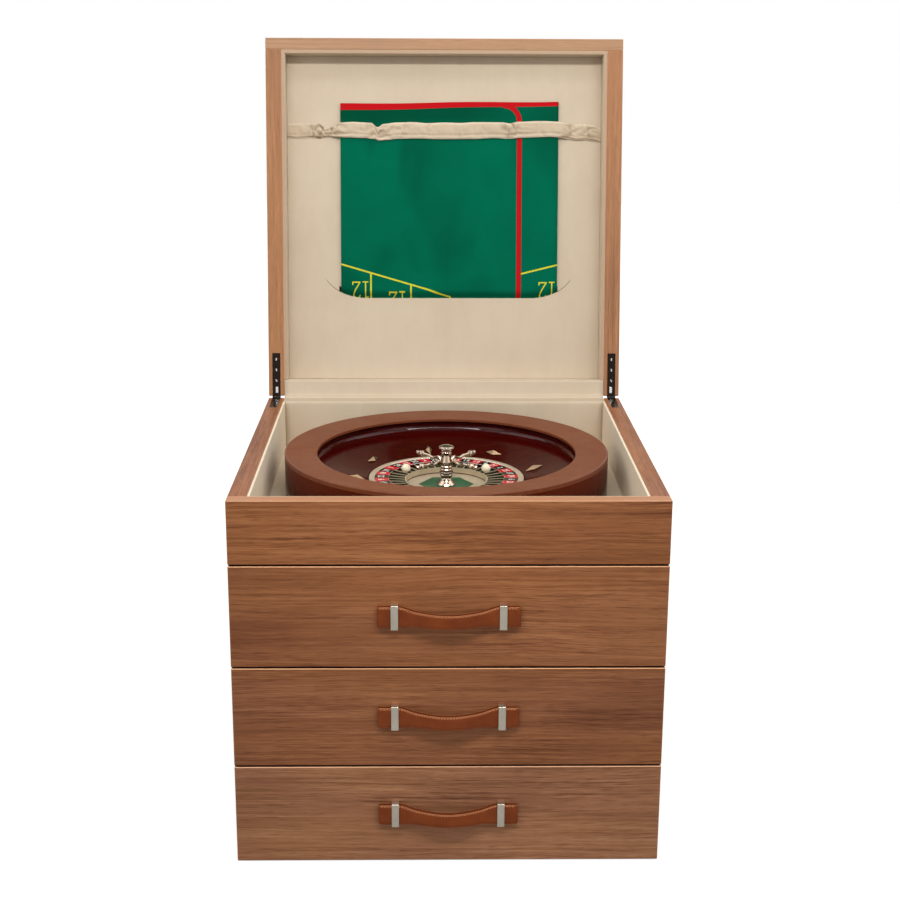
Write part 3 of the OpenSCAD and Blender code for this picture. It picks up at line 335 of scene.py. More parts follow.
def walnut(name, shift, turn=(0, 0, 0), lighter=0.0, tint=None, top=None):
    look = walnutLook
    material, tree, shader = newMaterial(name, Coat_Weight=0.04, Coat_Roughness=0.35, Specular_IOR_Level=0.2)
    place, coordinates, turned = objectPlace(tree, shift, turn)
    sockets = {"Vector": place, "Light": look["light"], "Middle": look["middle"], "Dark": look["dark"], "Gold": look["gold"], "Figure": look["figure"], "Pores": look["pores"]}
    grain = placeGroup(tree, woodGrain, sockets)
    normal = addNode(tree, "ShaderNodeMapping", {"Vector": coordinates.outputs["Normal"], "Rotation": turned}, vector_type="VECTOR").outputs[0]
    edge = placeGroup(tree, easedEdge, {"Normal": normal})["Mask"]
    color = grain["Color"]
    if lighter:
        color = mixColor(tree, lighter, color, look["pale"])
    if tint:
        color = mixColor(tree, 1.0, color, tint, "MULTIPLY")
    if top:  # a front: painted shade darkens its ends and the faces that point down; its top face has its own colour, dark as painted shade on the drawer fronts; a painted highlight lightens its top edge
        spot = addNode(tree, "ShaderNodeSeparateXYZ", {0: coordinates.outputs["Object"]}).outputs
        # painted shade: darker towards both ends
        ends = mapRange(tree, calc(tree, "ABSOLUTE", spot[0]), 0.08, 0.25, 0.0, 0.16, "SMOOTHSTEP")
        color = mixColor(tree, ends, color, look["dark"])
        upward = addNode(tree, "ShaderNodeSeparateXYZ", {0: coordinates.outputs["Normal"]}).outputs[2]
        color = mixColor(tree, mapRange(tree, upward, 0.9, 0.97), color, top[0])
        # painted shade on the faces that point down
        color = mixColor(tree, mapRange(tree, upward, -0.2, -0.6), color, look["dark"])
        # painted highlight on the top eased edge
        above = calc(tree, "MULTIPLY", edge, mapRange(tree, upward, 0.1, 0.3))
        color = mixColor(tree, calc(tree, "MULTIPLY", above, 0.9), color, top[1])
        edge = calc(tree, "MULTIPLY", edge, mapRange(tree, calc(tree, "ABSOLUTE", upward), 0.3, 0.1))
    # painted highlight on the eased edges
    color = mixColor(tree, calc(tree, "MULTIPLY", edge, 0.55), color, look["edge"])
    tree.links.new(color, shader.inputs["Base Color"])
    gloss = placeGroup(tree, smudges, {"Vector": place, "Size": 14.0, "Low": 0.42, "High": 0.55})
    tree.links.new(gloss["Roughness"], shader.inputs["Roughness"])
    bumpTo(tree, shader, grain["Height"], 0.25, 0.0003)
    return material


def birchPly(name, shift, turn=(0, 0, 0)):
    material, tree, shader = newMaterial(name, Roughness=0.6)
    place, coordinates, turned = objectPlace(tree, shift, turn)
    sockets = {"Vector": place, "Light": paint(226, 203, 163), "Middle": paint(210, 182, 138), "Dark": paint(176, 142, 98), "Gold": paint(214, 186, 138), "Figure": 0.8, "Pores": 0.2}
    grain = placeGroup(tree, woodGrain, sockets)
    tree.links.new(grain["Color"], shader.inputs["Base Color"])
    bumpTo(tree, shader, grain["Height"], 0.2, 0.0003)
    return material


def suede(name, color, shade, clouds=0.35, nap=0.35, sheen=0.1):
    material, tree, shader = newMaterial(name, Roughness=0.95, Sheen_Weight=sheen, Sheen_Roughness=0.5, Specular_IOR_Level=0.06, Sheen_Tint=paint(232, 216, 194))
    place, coordinates, turned = objectPlace(tree)
    surface = placeGroup(tree, suedeNap, {"Vector": place, "Color": color, "Shade": shade, "Clouds": clouds, "Nap": nap})
    tree.links.new(surface["Color"], shader.inputs["Base Color"])
    bumpTo(tree, shader, surface["Height"], 0.35, 0.0004)
    return material


def leather(name, color, shade):  # the vertex colour attribute holds a painted highlight in red, on the edges, and the dyed sides in green
    material, tree, shader = newMaterial(name, Coat_Weight=0.02, Coat_Roughness=0.3, Specular_IOR_Level=0.14)
    place, coordinates, turned = objectPlace(tree)
    pebbles = addNode(tree, "ShaderNodeTexVoronoi", {"Vector": place, "Scale": 780.0, "Smoothness": 0.6}, feature="SMOOTH_F1").outputs[0]
    creases = noiseAt(tree, vectorCalc(tree, "MULTIPLY", place, (90, 90, 330)), 1.0, 4.0, 0.6, 0.5)
    clouds = noiseAt(tree, place, 38.0, 3.0, 0.55, 0.3)
    tone = calc(tree, "ADD", calc(tree, "MULTIPLY", mapRange(tree, clouds, 0.35, 0.65), 0.7), calc(tree, "MULTIPLY", pebbles, 0.35), clamp=True)
    rub = addNode(tree, "ShaderNodeSeparateColor", {0: addNode(tree, "ShaderNodeAttribute", None, attribute_name="rub").outputs["Color"]}).outputs
    surface = mixColor(tree, tone, color, shade)
    surface = mixColor(tree, calc(tree, "MULTIPLY", rub[1], 0.75), surface, paint(74, 34, 16))
    # painted highlight on the edges
    edgeHighlight = calc(tree, "MULTIPLY", rub[0], mapRange(tree, clouds, 0.25, 0.6, 0.7, 1.0))
    surface = mixColor(tree, edgeHighlight, surface, paint(200, 128, 82))
    tree.links.new(surface, shader.inputs["Base Color"])
    rough = calc(tree, "ADD", mapRange(tree, clouds, 0.3, 0.7, 0.38, 0.5), calc(tree, "MULTIPLY", pebbles, 0.1))
    tree.links.new(rough, shader.inputs["Roughness"])
    height = calc(tree, "ADD", calc(tree, "MULTIPLY", pebbles, -0.6), calc(tree, "MULTIPLY", creases, 0.5))
    bumpTo(tree, shader, height, 0.3, 0.0003)
    return material


def metal(name, color, low, high, size=40.0, brushed=None, metallic=1.0, bump=0.03):
    material, tree, shader = newMaterial(name, Metallic=metallic)
    place, coordinates, turned = objectPlace(tree)
    gloss = placeGroup(tree, smudges, {"Vector": place, "Size": size, "Low": low, "High": high})
    tone = noiseAt(tree, place, size * 0.8, 3.0, 0.6)
    darker = tuple(value * 0.82 for value in color)
    height = gloss["Height"]
    rough = gloss["Roughness"]
    if brushed:
        lines = noiseAt(tree, vectorCalc(tree, "MULTIPLY", place, brushed), 1.0, 2.0, 0.6)
        rough = calc(tree, "ADD", rough, mapRange(tree, lines, 0.3, 0.7, -0.06, 0.08))
        height = lines
        tone = calc(tree, "ADD", calc(tree, "MULTIPLY", tone, 0.5), calc(tree, "MULTIPLY", lines, 0.5))
    tree.links.new(mixColor(tree, mapRange(tree, tone, 0.35, 0.7), color, darker), shader.inputs["Base Color"])
    tree.links.new(rough, shader.inputs["Roughness"])
    bumpTo(tree, shader, height, bump, 0.0002)
    return material


def lacquer(name, light, middle, dark, low, high, coat, figure=0.7, specular=0.12, side=None, shine=(1, 1, 1)):
    material, tree, shader = newMaterial(name, Coat_Weight=coat, Coat_Roughness=0.06, Specular_IOR_Level=specular, Specular_Tint=shine)
    place, coordinates, turned = objectPlace(tree, (0.3, 0.1, 0.2))
    grain = placeGroup(tree, woodGrain, {"Vector": place, "Light": light, "Middle": middle, "Dark": dark, "Gold": middle, "Figure": figure, "Pores": 0.15})
    gloss = placeGroup(tree, smudges, {"Vector": place, "Size": 16.0, "Low": low, "High": high})
    color = grain["Color"]
    if side:  # the outer side of the bowl is stained lighter and browner than its inside, and painted shade darkens it towards the bottom
        parts = addNode(tree, "ShaderNodeSeparateXYZ", {0: coordinates.outputs["Object"]}).outputs
        flat = addNode(tree, "ShaderNodeCombineXYZ", {0: parts[0], 1: parts[1], 2: 0.0}).outputs[0]
        radius = addNode(tree, "ShaderNodeVectorMath", {0: flat}, operation="LENGTH").outputs["Value"]
        # painted shade: darker towards the bottom of the outer side
        fade = mapRange(tree, parts[2], 0.388, 0.430)
        sideStainAndShade = mixColor(tree, fade, side[1], side[0])
        sideStainAndShade = mixColor(tree, calc(tree, "MULTIPLY", grain["Tone"], 0.35), sideStainAndShade, dark)
        color = mixColor(tree, mapRange(tree, radius, 0.192, 0.195), color, sideStainAndShade)
        track = calc(tree, "MULTIPLY", mapRange(tree, radius, 0.1570, 0.1605), mapRange(tree, radius, 0.176, 0.172))  # the ball keeps it polished
        tree.links.new(mapRange(tree, track, 0.0, 1.0, coat, 0.34), shader.inputs["Coat Weight"])
    tree.links.new(color, shader.inputs["Base Color"])
    tree.links.new(gloss["Roughness"], shader.inputs["Roughness"])
    bumpTo(tree, shader, gloss["Height"], 0.02, 0.0002)
    return material


def enamel(name, color, shade, low=0.12, high=0.24):
    material, tree, shader = newMaterial(name, Coat_Weight=0.04, Coat_Roughness=0.08, Specular_IOR_Level=0.12)
    place, coordinates, turned = objectPlace(tree)
    flow = noiseAt(tree, place, 120.0, 3.0, 0.6, 0.4)
    gloss = placeGroup(tree, smudges, {"Vector": place, "Size": 90.0, "Low": low, "High": high})
    tree.links.new(mixColor(tree, mapRange(tree, flow, 0.35, 0.7), color, shade), shader.inputs["Base Color"])
    tree.links.new(gloss["Roughness"], shader.inputs["Roughness"])
    bumpTo(tree, shader, flow, 0.05, 0.0002)
    return material


def baize():  # the printed layout; its UV map holds the place on the lid in metres
    look = {
        "cloth": paint(1, 104, 76),
        "clothShade": paint(1, 90, 65),
        "clothPatchesAndShade": paint(2, 68, 46),
        "red": paint(186, 14, 26),
        "yellow": paint(214, 208, 52),
        "redWidth": 0.0035,
        "yellowWidth": 0.00115,
    }
    redLines = [
        ((0.1067, 0.09), (0.1067, 0.388)), ((0.1067, 0.388), (0.105, 0.3964)), ((0.105, 0.3964), (0.1003, 0.4036)),
        ((0.1003, 0.4036), (0.0931, 0.4083)), ((0.0931, 0.4083), (0.0847, 0.4100)),
    ]
    yellowLines = [
        ((-0.1500, 0.1880), (0.0085, 0.1420)), ((-0.1047, 0.1746), (-0.1047, 0.095)), ((-0.0474, 0.1576), (-0.0474, 0.095)),
        ((0.0085, 0.1420), (0.0085, 0.095)), ((0.1110, 0.1740), (0.1660, 0.1875)),
    ]
    strokes = [
        ((-7, -11.5), (-7, 11.5)), ((-7, 11.5), (-10.6, 8.6)), ((-10.4, -11.3), (-3.6, -11.3)),
        ((1, 6.5), (2.2, 9.8)), ((2.2, 9.8), (5.3, 11.4)), ((5.3, 11.4), (8.8, 10.2)), ((8.8, 10.2), (10.3, 7)),
        ((10.3, 7), (9.5, 3.4)), ((9.5, 3.4), (6, -2.5)), ((6, -2.5), (1, -10.8)), ((1, -10.8), (11.2, -10.8)), ((11.2, -10.8), (11.2, -7.8)),
    ]
    numeral, given, out = newGroup("numeralTwelve", [("Vector", "vector", None), ("Centre", "vector", None)], [("Mask", "value")])
    turned = vectorCalc(numeral, "SUBTRACT", given["Centre"], given["Vector"])
    mask = None
    for a, b in strokes:
        ends = {"A": (a[0] / 1000, a[1] / 1000, 0), "B": (b[0] / 1000, b[1] / 1000, 0)}
        part = placeGroup(numeral, printedLine, {"Vector": turned, "Half Width": 0.00085, **ends})["Mask"]
        mask = part if mask is None else calc(numeral, "MAXIMUM", mask, part)
    numeral.links.new(mask, out["Mask"])

    material, tree, shader = newMaterial("printedBaize", Roughness=0.95, Sheen_Weight=0.03, Sheen_Roughness=0.5, Specular_IOR_Level=0.03, Sheen_Tint=paint(60, 170, 130))
    flat = addNode(tree, "ShaderNodeUVMap", None, uv_map="cloth").outputs[0]
    fuzz = noiseAt(tree, flat, 900.0, 3.0, 0.7)
    clouds = noiseAt(tree, flat, 14.0, 3.0, 0.6, 0.3)
    tone = calc(tree, "ADD", calc(tree, "MULTIPLY", mapRange(tree, fuzz, 0.35, 0.7), 0.45), calc(tree, "MULTIPLY", mapRange(tree, clouds, 0.3, 0.7), 0.5), clamp=True)
    color = mixColor(tree, tone, look["cloth"], look["clothShade"])
    waves = noiseAt(tree, vectorCalc(tree, "MULTIPLY", flat, (9, 6, 1)), 1.0, 2.0, 0.5, 0.6)
    color = mixColor(tree, mapRange(tree, waves, 0.46, 0.66, 0.0, 0.6), color, look["clothPatchesAndShade"])
    spots = addNode(tree, "ShaderNodeSeparateXYZ", {0: flat}).outputs  # above the strap: painted shade, strongest at the left
    brushed = calc(tree, "MULTIPLY", mapRange(tree, spots[1], 0.372, 0.394, 0.0, 0.95), mapRange(tree, spots[0], 0.03, 0.12, 0.9, 0.3))
    # painted shade above the strap
    color = mixColor(tree, brushed, color, look["clothPatchesAndShade"])

    def collect(lines, half, level=0.0):
        found = None
        for a, b in lines:
            part = placeGroup(tree, printedLine, {"Vector": flat, "A": (*a, level), "B": (*b, level), "Half Width": half})["Mask"]
            found = part if found is None else calc(tree, "MAXIMUM", found, part)
        return found

    yellow = collect(yellowLines, look["yellowWidth"])
    for centre in ((-0.1195, 0.1507, 0), (-0.0670, 0.1372, 0), (0.1475, 0.1505, 0)):
        part = placeGroup(tree, numeral, {"Vector": flat, "Centre": centre})["Mask"]
        yellow = calc(tree, "MAXIMUM", yellow, part)
    red = collect(redLines, look["redWidth"])
    red = calc(tree, "MAXIMUM", red, collect([((-0.170, 0.4135), (0.190, 0.4177))], 0.0085))
    color = mixColor(tree, calc(tree, "MULTIPLY", yellow, 0.92), color, look["yellow"])
    color = mixColor(tree, calc(tree, "MULTIPLY", red, 0.96), color, look["red"])
    tree.links.new(color, shader.inputs["Base Color"])
    weave = [addNode(tree, "ShaderNodeTexWave", {"Vector": flat, "Scale": 190.0, "Distortion": 1.5, "Detail": 2.0}, bands_direction=way).outputs[1] for way in ("X", "Y")]
    height = calc(tree, "ADD", calc(tree, "MULTIPLY", calc(tree, "MULTIPLY", weave[0], weave[1]), 0.4), fuzz)
    bumpTo(tree, shader, height, 0.3, 0.0003)
    return material


def gatheredSuede():  # the vertex colour attribute holds painted shade in red, inside the creases, and a painted highlight in green, on the rolled edges
    material = suede("gatheredSuede", paint(202, 184, 158), paint(182, 162, 137), 0.45, 0.4)
    tree = material.node_tree
    shader = tree.nodes["Principled BSDF"]
    plain = shader.inputs["Base Color"].links[0].from_socket
    fold = addNode(tree, "ShaderNodeSeparateColor", {0: addNode(tree, "ShaderNodeAttribute", None, attribute_name="fold").outputs["Color"]}).outputs
    # painted highlight on the rolled edges
    color = mixColor(tree, calc(tree, "MULTIPLY", fold[1], 0.75), plain, paint(228, 212, 188))
    # painted shade in the creases
    color = mixColor(tree, calc(tree, "MULTIPLY", fold[0], 0.85), color, paint(118, 94, 70))
    tree.links.new(color, shader.inputs["Base Color"])
    return material


creamSuede = suede("creamSuede", paint(207, 191, 168), paint(192, 174, 149))
finishes = {
    "birch": birchPly("birchPly", (0.2, 0.1, 0.3)),
    "suede": creamSuede,
    "gathered_suede": gatheredSuede(),
    "felt": suede("baseFelt", paint(34, 58, 40), paint(22, 40, 28), 0.6, 0.6, 0.1),
    "tan_leather": leather("tanLeather", paint(132, 64, 28), paint(110, 50, 20)),
    "satin_steel": metal("satinSteel", paint(212, 204, 188), 0.34, 0.46, 60.0, (2600, 2600, 60), bump=0.05),
    "dark_steel": metal("darkSteel", paint(44, 36, 32), 0.16, 0.3, 80.0, (60, 2400, 60), bump=0.03),
    "polished_steel": metal("polishedSteel", paint(226, 222, 214), 0.1, 0.2, 90.0),
    "chrome": metal("turretNickel", paint(168, 148, 130), 0.06, 0.15, 110.0),
    "bronze": metal("bushBronze", paint(178, 132, 78), 0.25, 0.4, 120.0),
    "champagne_metal": metal("champagneMetal", paint(204, 188, 162), 0.3, 0.45, 70.0, metallic=0.45),
    # the second side colour is the painted shade at the bottom of the outer side
    "mahogany": lacquer("glossMahogany", paint(72, 8, 5), paint(56, 5, 3), paint(38, 3, 2), 0.11, 0.18, 0.16, specular=0.02, shine=(1, 0.25, 0.2), side=(paint(88, 32, 14), paint(50, 14, 5))),
    "rim_wood": lacquer("rimWood", paint(120, 64, 34), paint(106, 52, 26), paint(88, 40, 19), 0.36, 0.48, 0.03, 0.5, 0.24),
    "red_enamel": enamel("redEnamel", paint(200, 34, 44), paint(172, 18, 30)),
    "black_enamel": enamel("blackEnamel", paint(34, 30, 28), paint(18, 16, 15)),
    "green_enamel": enamel("greenEnamel", paint(4, 92, 58), paint(2, 72, 44)),
    "ivory_plastic": enamel("ivoryBall", paint(240, 228, 200), paint(228, 212, 180), 0.16, 0.28),
    "layout_cloth": baize(),
}
boards = {
    # top holds the top face's colour, dark as painted shade on the drawer fronts, and the colour of the top edge's
    # painted highlight
    "tray_front": walnut("walnutTrayFront", (0.00, 0.00, 0.02), tint=(1.11, 1.07, 0.98), top=(paint(168, 118, 84), paint(196, 146, 110))),
    "drawer_1_front": walnut("walnutDrawer1", (0.70, 0.31, 0.05), tint=(1.06, 1.03, 1.0), top=(paint(66, 34, 19), paint(238, 180, 132))),
    "drawer_2_front": walnut("walnutDrawer2", (1.45, 0.12, 0.40), tint=(1.0, 0.99, 1.04), top=(paint(66, 34, 19), paint(238, 180, 132))),
    "drawer_3_front": walnut("walnutDrawer3", (2.30, 0.55, 0.17), tint=(1.2, 1.38, 1.7), top=(paint(66, 34, 19), paint(234, 178, 136))),
    "left_side": walnut("walnutLeft", (0.4, 0.9, 0.1), (0, 0, -90), tint=(0.9, 0.86, 0.84)),
    "right_side": walnut("walnutRight", (1.1, 0.2, 0.6), (0, 0, -90), tint=(0.9, 0.86, 0.84)),
    "back_panel": walnut("walnutBack", (3.1, 0.4, 0.0)),
    "lid_front_rail": walnut("walnutLidFront", (0.2, 1.3, 0.3), (lidTilt, 0, 0), 0.38, tint=(1.0, 1.14, 1.3)),
    "lid_rear_rail": walnut("walnutLidRear", (0.9, 1.8, 0.8), (lidTilt, 0, 0)),
    "lid_side_rails": walnut("walnutLidSides", (0.5, 0.6, 1.5), (lidTilt, 0, -90), 0.25),
    "lid_top_panel": walnut("walnutLidTop", (1.7, 0.2, 2.1), (lidTilt, 0, 0), 0.1),
    # a lighter copy of the cream suede: painted light on the tray lining, which the wheel shades
    "tray_lining": suede("traySuedeLightened", paint(226, 211, 188), paint(212, 195, 170)),
}


def lidLipSuede():  # the edge that faces out of the open lid is darker than the sides
    material = suede("lipSuede", paint(207, 191, 168), paint(192, 174, 149))
    tree = material.node_tree
    shader = tree.nodes["Principled BSDF"]
    covered = shader.inputs["Base Color"].links[0].from_socket
    normal = addNode(tree, "ShaderNodeTexCoord").outputs["Normal"]
    outwards = (0.0, -math.sin(math.radians(lidTilt)), -math.cos(math.radians(lidTilt)))
    facing = addNode(tree, "ShaderNodeVectorMath", {0: normal, 1: outwards}, operation="DOT_PRODUCT").outputs["Value"]
    edge = calc(tree, "MULTIPLY", mapRange(tree, facing, 0.6, 0.95), 0.7)
    tree.links.new(mixColor(tree, edge, covered, paint(172, 138, 110)), shader.inputs["Base Color"])
    return material


def pocketMetal():  # darker below the fret tops: the pocket floors' own dark colour, and painted shade on the sides of the frets
    material = metal("pocketMetal", paint(196, 180, 152), 0.3, 0.45, 70.0, metallic=0.45)
    tree = material.node_tree
    shader = tree.nodes["Principled BSDF"]
    covered = shader.inputs["Base Color"].links[0].from_socket
    parts = addNode(tree, "ShaderNodeSeparateXYZ", {0: addNode(tree, "ShaderNodeTexCoord").outputs["Object"]}).outputs
    flat = addNode(tree, "ShaderNodeCombineXYZ", {0: parts[0], 1: parts[1], 2: 0.0}).outputs[0]
    radius = addNode(tree, "ShaderNodeVectorMath", {0: flat}, operation="LENGTH").outputs["Value"]
    level = calc(tree, "ADD", calc(tree, "MULTIPLY", calc(tree, "SUBTRACT", radius, 0.053), 0.0762), 0.402)  # the sloping tops of the frets
    below = mapRange(tree, calc(tree, "SUBTRACT", parts[2], level), -0.0004, -0.0009)
    within = calc(tree, "MULTIPLY", mapRange(tree, radius, 0.0529, 0.0531), below)
    # the floors' own dark colour, and painted shade on the fret sides
    tree.links.new(mixColor(tree, within, covered, paint(48, 46, 26)), shader.inputs["Base Color"])
    tree.links.new(mapRange(tree, within, 0.0, 1.0, 0.4, 0.0), shader.inputs["Metallic"])
    tree.links.new(mapRange(tree, within, 0.0, 1.0, 0.4, 0.85), shader.inputs["Roughness"])
    shader.inputs["Specular IOR Level"].default_value = 0.1
    return material


finishes["chrome_dull"] = metal("deflectorNickel", paint(134, 112, 86), 0.3, 0.42, 110.0)
finishes["screw_steel"] = metal("screwSteel", paint(92, 82, 74), 0.16, 0.3, 90.0)
slotOf = {part["node"]: part["material_slot"] for part in frame["record"]["subparts"]}
for name, node in nodes.items():
    finish = boards.get(name) or finishes[slotOf[name]]
    if name == "lid_lip":
        finish = lidLipSuede()
    if name == "pocket_ring":
        finish = pocketMetal()
    node.data.materials.clear()
    node.data.materials.append(finish)
print("finishes given to", len(nodes), "nodes")

# ---- mesh helpers ----


def gridPiece(name, across, along, pointAt, uvAt=None, loop=False, material=None):  # a sheet laid out as a grid
    wide = len(across)
    points = [pointAt(a, b) for b in along for a in across]
    faces = []
    for row in range(len(along) - 1):
        for column in range(wide if loop else wide - 1):
            following = (column + 1) % wide
            base = row * wide
            faces.append((base + column, base + following, base + wide + following, base + wide + column))
    mesh = bpy.data.meshes.new(name)
    mesh.from_pydata(points, [], faces)
    if uvAt:
        places = [uvAt(a, b) for b in along for a in across]
        layer = mesh.uv_layers.new(name="cloth")
        for corner in mesh.loops:
            layer.data[corner.index].uv = places[corner.vertex_index]
    mesh.shade_smooth()
    piece = bpy.data.objects.new(name, mesh)
    scene.collection.objects.link(piece)
    if material:
        mesh.materials.append(material)
    return piece


def only(piece):  # selects one piece and nothing else
    bpy.ops.object.select_all(action="DESELECT")
    piece.select_set(True)
    bpy.context.view_layer.objects.active = piece


def useModifier(piece, kind, **settings):
    only(piece)
    modifier = piece.modifiers.new(kind.lower(), kind)
    for key, value in settings.items():
        setattr(modifier, key, value)
    bpy.ops.object.modifier_apply(modifier=modifier.name)


def rightWayOut(piece):  # merges doubles and turns the faces outwards
    only(piece)
    bpy.ops.object.mode_set(mode="EDIT")
    bpy.ops.mesh.select_all(action="SELECT")
    bpy.ops.mesh.remove_doubles(threshold=0.000001)
    bpy.ops.mesh.normals_make_consistent(inside=False)
    bpy.ops.object.mode_set(mode="OBJECT")


def settle(piece):  # moves the piece's place into its mesh
    only(piece)
    bpy.ops.object.transform_apply(location=True, rotation=True, scale=True)


def spread(low, high, count):
    return [low + (high - low) * i / count for i in range(count + 1)]


def smooth(value):
    value = max(0.0, min(1.0, value))
    return value * value * (3 - 2 * value)


hinge = {"y": 0.252, "z": 0.44925, "open": math.radians(lidTilt)}
lidTurn = (
    Matrix.Translation((0, hinge["y"], hinge["z"]))
    @ Matrix.Rotation(-hinge["open"], 4, "X")
    @ Matrix.Translation((0, -hinge["y"], -hinge["z"]))
)


def lidPoint(x, up, deep):  # up from the lid's rear edge, deep into the lid from its parting plane
    return lidTurn @ Vector((x, 0.250 - up, 0.4495 + deep))


# ---- the folded layout cloth ----

clothCut = {
    "left": -0.1468,
    "right": 0.162,
    "top": 0.415,
    "bottom": 0.072,
    "pitch": 0.0010,
    "layer": 0.0002,
    "thick": 0.00030,
    "front": 0.0248,  # depth of the middle of the stack in front of the lining
    "back": 0.0322,  # and behind it
    "billow": 0.0011,
}
slit = {"up": 0.139, "flat": 0.118, "half": 0.175, "rise": 0.026, "open": 0.011, "middle": 0.0065}


def slitEdge(x):
    t = max(0.0, abs(x - slit["middle"]) - slit["flat"]) / (slit["half"] - slit["flat"])
    return slit["up"] + slit["rise"] * (1 - math.sqrt(1 - (min(1, t) * 0.92) ** 2)) / (1 - math.sqrt(1 - 0.92 ** 2))


def slitGape(x):
    return slit["open"] * math.sqrt(max(0.05, 1 - (abs(x - slit["middle"]) / slit["half"]) ** 6))


def clothMiddle(x, up):  # depth of the stack's middle
    gape = slitGape(x)
    half = 0.0055 * gape / slit["open"]
    share = smooth((up - slitEdge(x) - gape / 2 + half) / (2 * half))
    return clothCut["back"] + (clothCut["front"] - clothCut["back"]) * share


def makeLayoutCloth():
    cut = clothCut
    pitch, layer = cut["pitch"], cut["layer"]
    low, high = cut["bottom"] + pitch, cut["top"] - pitch
    climb = spread(low, 0.128, 8)[:-1] + spread(0.128, 0.176, 20)[:-1] + spread(0.176, high, 30)
    profile = []  # ply, way along it, share of the fold
    for ply in range(4):
        profile += [(ply, up, None) for up in (climb if ply % 2 == 0 else climb[::-1])]
        if ply < 3:
            profile += [(ply, None, math.radians(angle)) for angle in (30, 60, 90, 120, 150)]
    across = [(x, -1.0) for x in spread(cut["right"], cut["left"], 40)]
    across += [(cut["left"] - 0.0002 * math.cos(math.radians(a)), math.sin(math.radians(a))) for a in (-60, 0, 60)]
    across += [(x, 1.0) for x in spread(cut["left"], cut["right"], 40)]

    def offset(ply):
        return (1.5 - ply) * pitch

    def shaped(x, up, off, ply):
        slope = (clothMiddle(x, up + 0.0001) - clothMiddle(x, up - 0.0001)) / 0.0002
        size = math.sqrt(1 + slope * slope)
        deep = clothMiddle(x, up) + off / size
        up = up - off * slope / size
        lean = smooth((up - 0.30) / 0.10)
        up += lean * ((x - 0.0065) / 0.155 * 0.0019 + 0.0006 * math.sin(x * 31 + 0.6))
        if ply == 3:
            calm = smooth((up - 0.170) / 0.05) * (smooth((0.362 - up) / 0.04) + 0.35 * smooth((up - 0.390) / 0.008) * smooth((0.4135 - up) / 0.006))
            wave = 0.55 + 0.45 * noise.noise(Vector((x * 11, up * 6, 2.0)))
            ridge = 0.35 * math.exp(-((x + 0.062) / 0.006) ** 2) + 0.3 * math.exp(-((x - 0.085) / 0.007) ** 2)
            deep -= cut["billow"] * calm * (wave + ridge)
        return lidPoint(x, up, deep)

    def pointAt(side, station):
        x, sign = side
        ply, up, angle = station
        d = layer * sign * (1 if ply % 2 == 0 else -1)
        if angle is None:
            return shaped(x, up, offset(ply) + d, ply)
        middle = (offset(ply) + offset(ply + 1)) / 2
        radius = pitch / 2 + d
        atTop = ply % 2 == 0
        edge = high if atTop else low
        way = 1 if atTop else -1
        near = ply if angle < math.pi / 2 else ply + 1
        point = shaped(x, edge, middle + radius * math.cos(angle), near)
        turned = lidTurn.to_3x3() @ Vector((0, -way * radius * math.sin(angle), 0))
        return point + turned

    def uvAt(side, station):
        x, sign = side
        ply, up, angle = station
        if sign < 0 or ply < 2:
            return (x, 2.0 + 3.0 * ply + (up or 0.4))
        if ply == 3:
            return (x, up)
        if angle is not None:
            return (x, high + 0.0012 * (math.pi - angle))
        return (x, 2 * high + 0.0038 - up)

    piece = gridPiece("layoutCloth", across, profile, pointAt, uvAt, material=finishes["layout_cloth"])
    useModifier(piece, "SOLIDIFY", thickness=cut["thick"], offset=0)
    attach(piece, "lid")
    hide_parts("layout_cloth")


makeLayoutCloth()
print("layout cloth folded and passed through the slit")

# ---- the gathered elastic strap ----

elasticCut = {
    "ends": (-0.2226, 0.2226),
    "over": 0.0045,  # how far the strap stands out where it passes over the cloth
    "puff": 0.0030,
    "topLine": [(-0.223, 0.3850), (-0.200, 0.3856), (-0.178, 0.3848), (-0.168, 0.3790), (-0.158, 0.3800), (-0.149, 0.3862), (-0.130, 0.3872),
                (-0.104, 0.3862), (-0.0945, 0.3800), (-0.086, 0.3845), (-0.068, 0.3866), (-0.045, 0.3872), (-0.024, 0.3858), (0.000, 0.3868),
                (0.022, 0.3862), (0.045, 0.3875), (0.084, 0.3872), (0.092, 0.3858), (0.104, 0.3882), (0.140, 0.3894), (0.162, 0.3886),
                (0.176, 0.3866), (0.186, 0.3850), (0.200, 0.3858), (0.212, 0.3838), (0.223, 0.3800)],
    "lowLine": [(-0.223, 0.3650), (-0.205, 0.3640), (-0.188, 0.3652), (-0.176, 0.3640), (-0.166, 0.3668), (-0.156, 0.3660), (-0.140, 0.3652),
                (-0.112, 0.3644), (-0.100, 0.3634), (-0.093, 0.3608), (-0.082, 0.3618), (-0.066, 0.3636), (-0.040, 0.3640), (0.000, 0.3632),
                (0.040, 0.3636), (0.072, 0.3650), (0.090, 0.3642), (0.110, 0.3656), (0.150, 0.3670), (0.164, 0.3662), (0.176, 0.3640),
                (0.188, 0.3622), (0.200, 0.3632), (0.210, 0.3612), (0.223, 0.3600)],
    "pinches": [(-0.186, 1.0, 0.006), (-0.172, 1.6, 0.009), (-0.159, 1.4, 0.007), (-0.0945, 1.4, 0.010), (-0.060, 0.3, 0.012), (-0.024, 0.28, 0.008), (0.022, 0.22, 0.007),
                (0.055, 0.25, 0.010), (0.090, 0.9, 0.008), (0.101, 0.8, 0.006), (0.135, 0.3, 0.012), (0.180, 0.8, 0.010), (0.204, 1.0, 0.009)],
}


def along(line, x):  # a smooth value between the points of a line
    for (xa, va), (xb, vb) in zip(line, line[1:]):
        if x <= xb:
            return va + (vb - va) * smooth((x - xa) / (xb - xa))
    return line[-1][1]


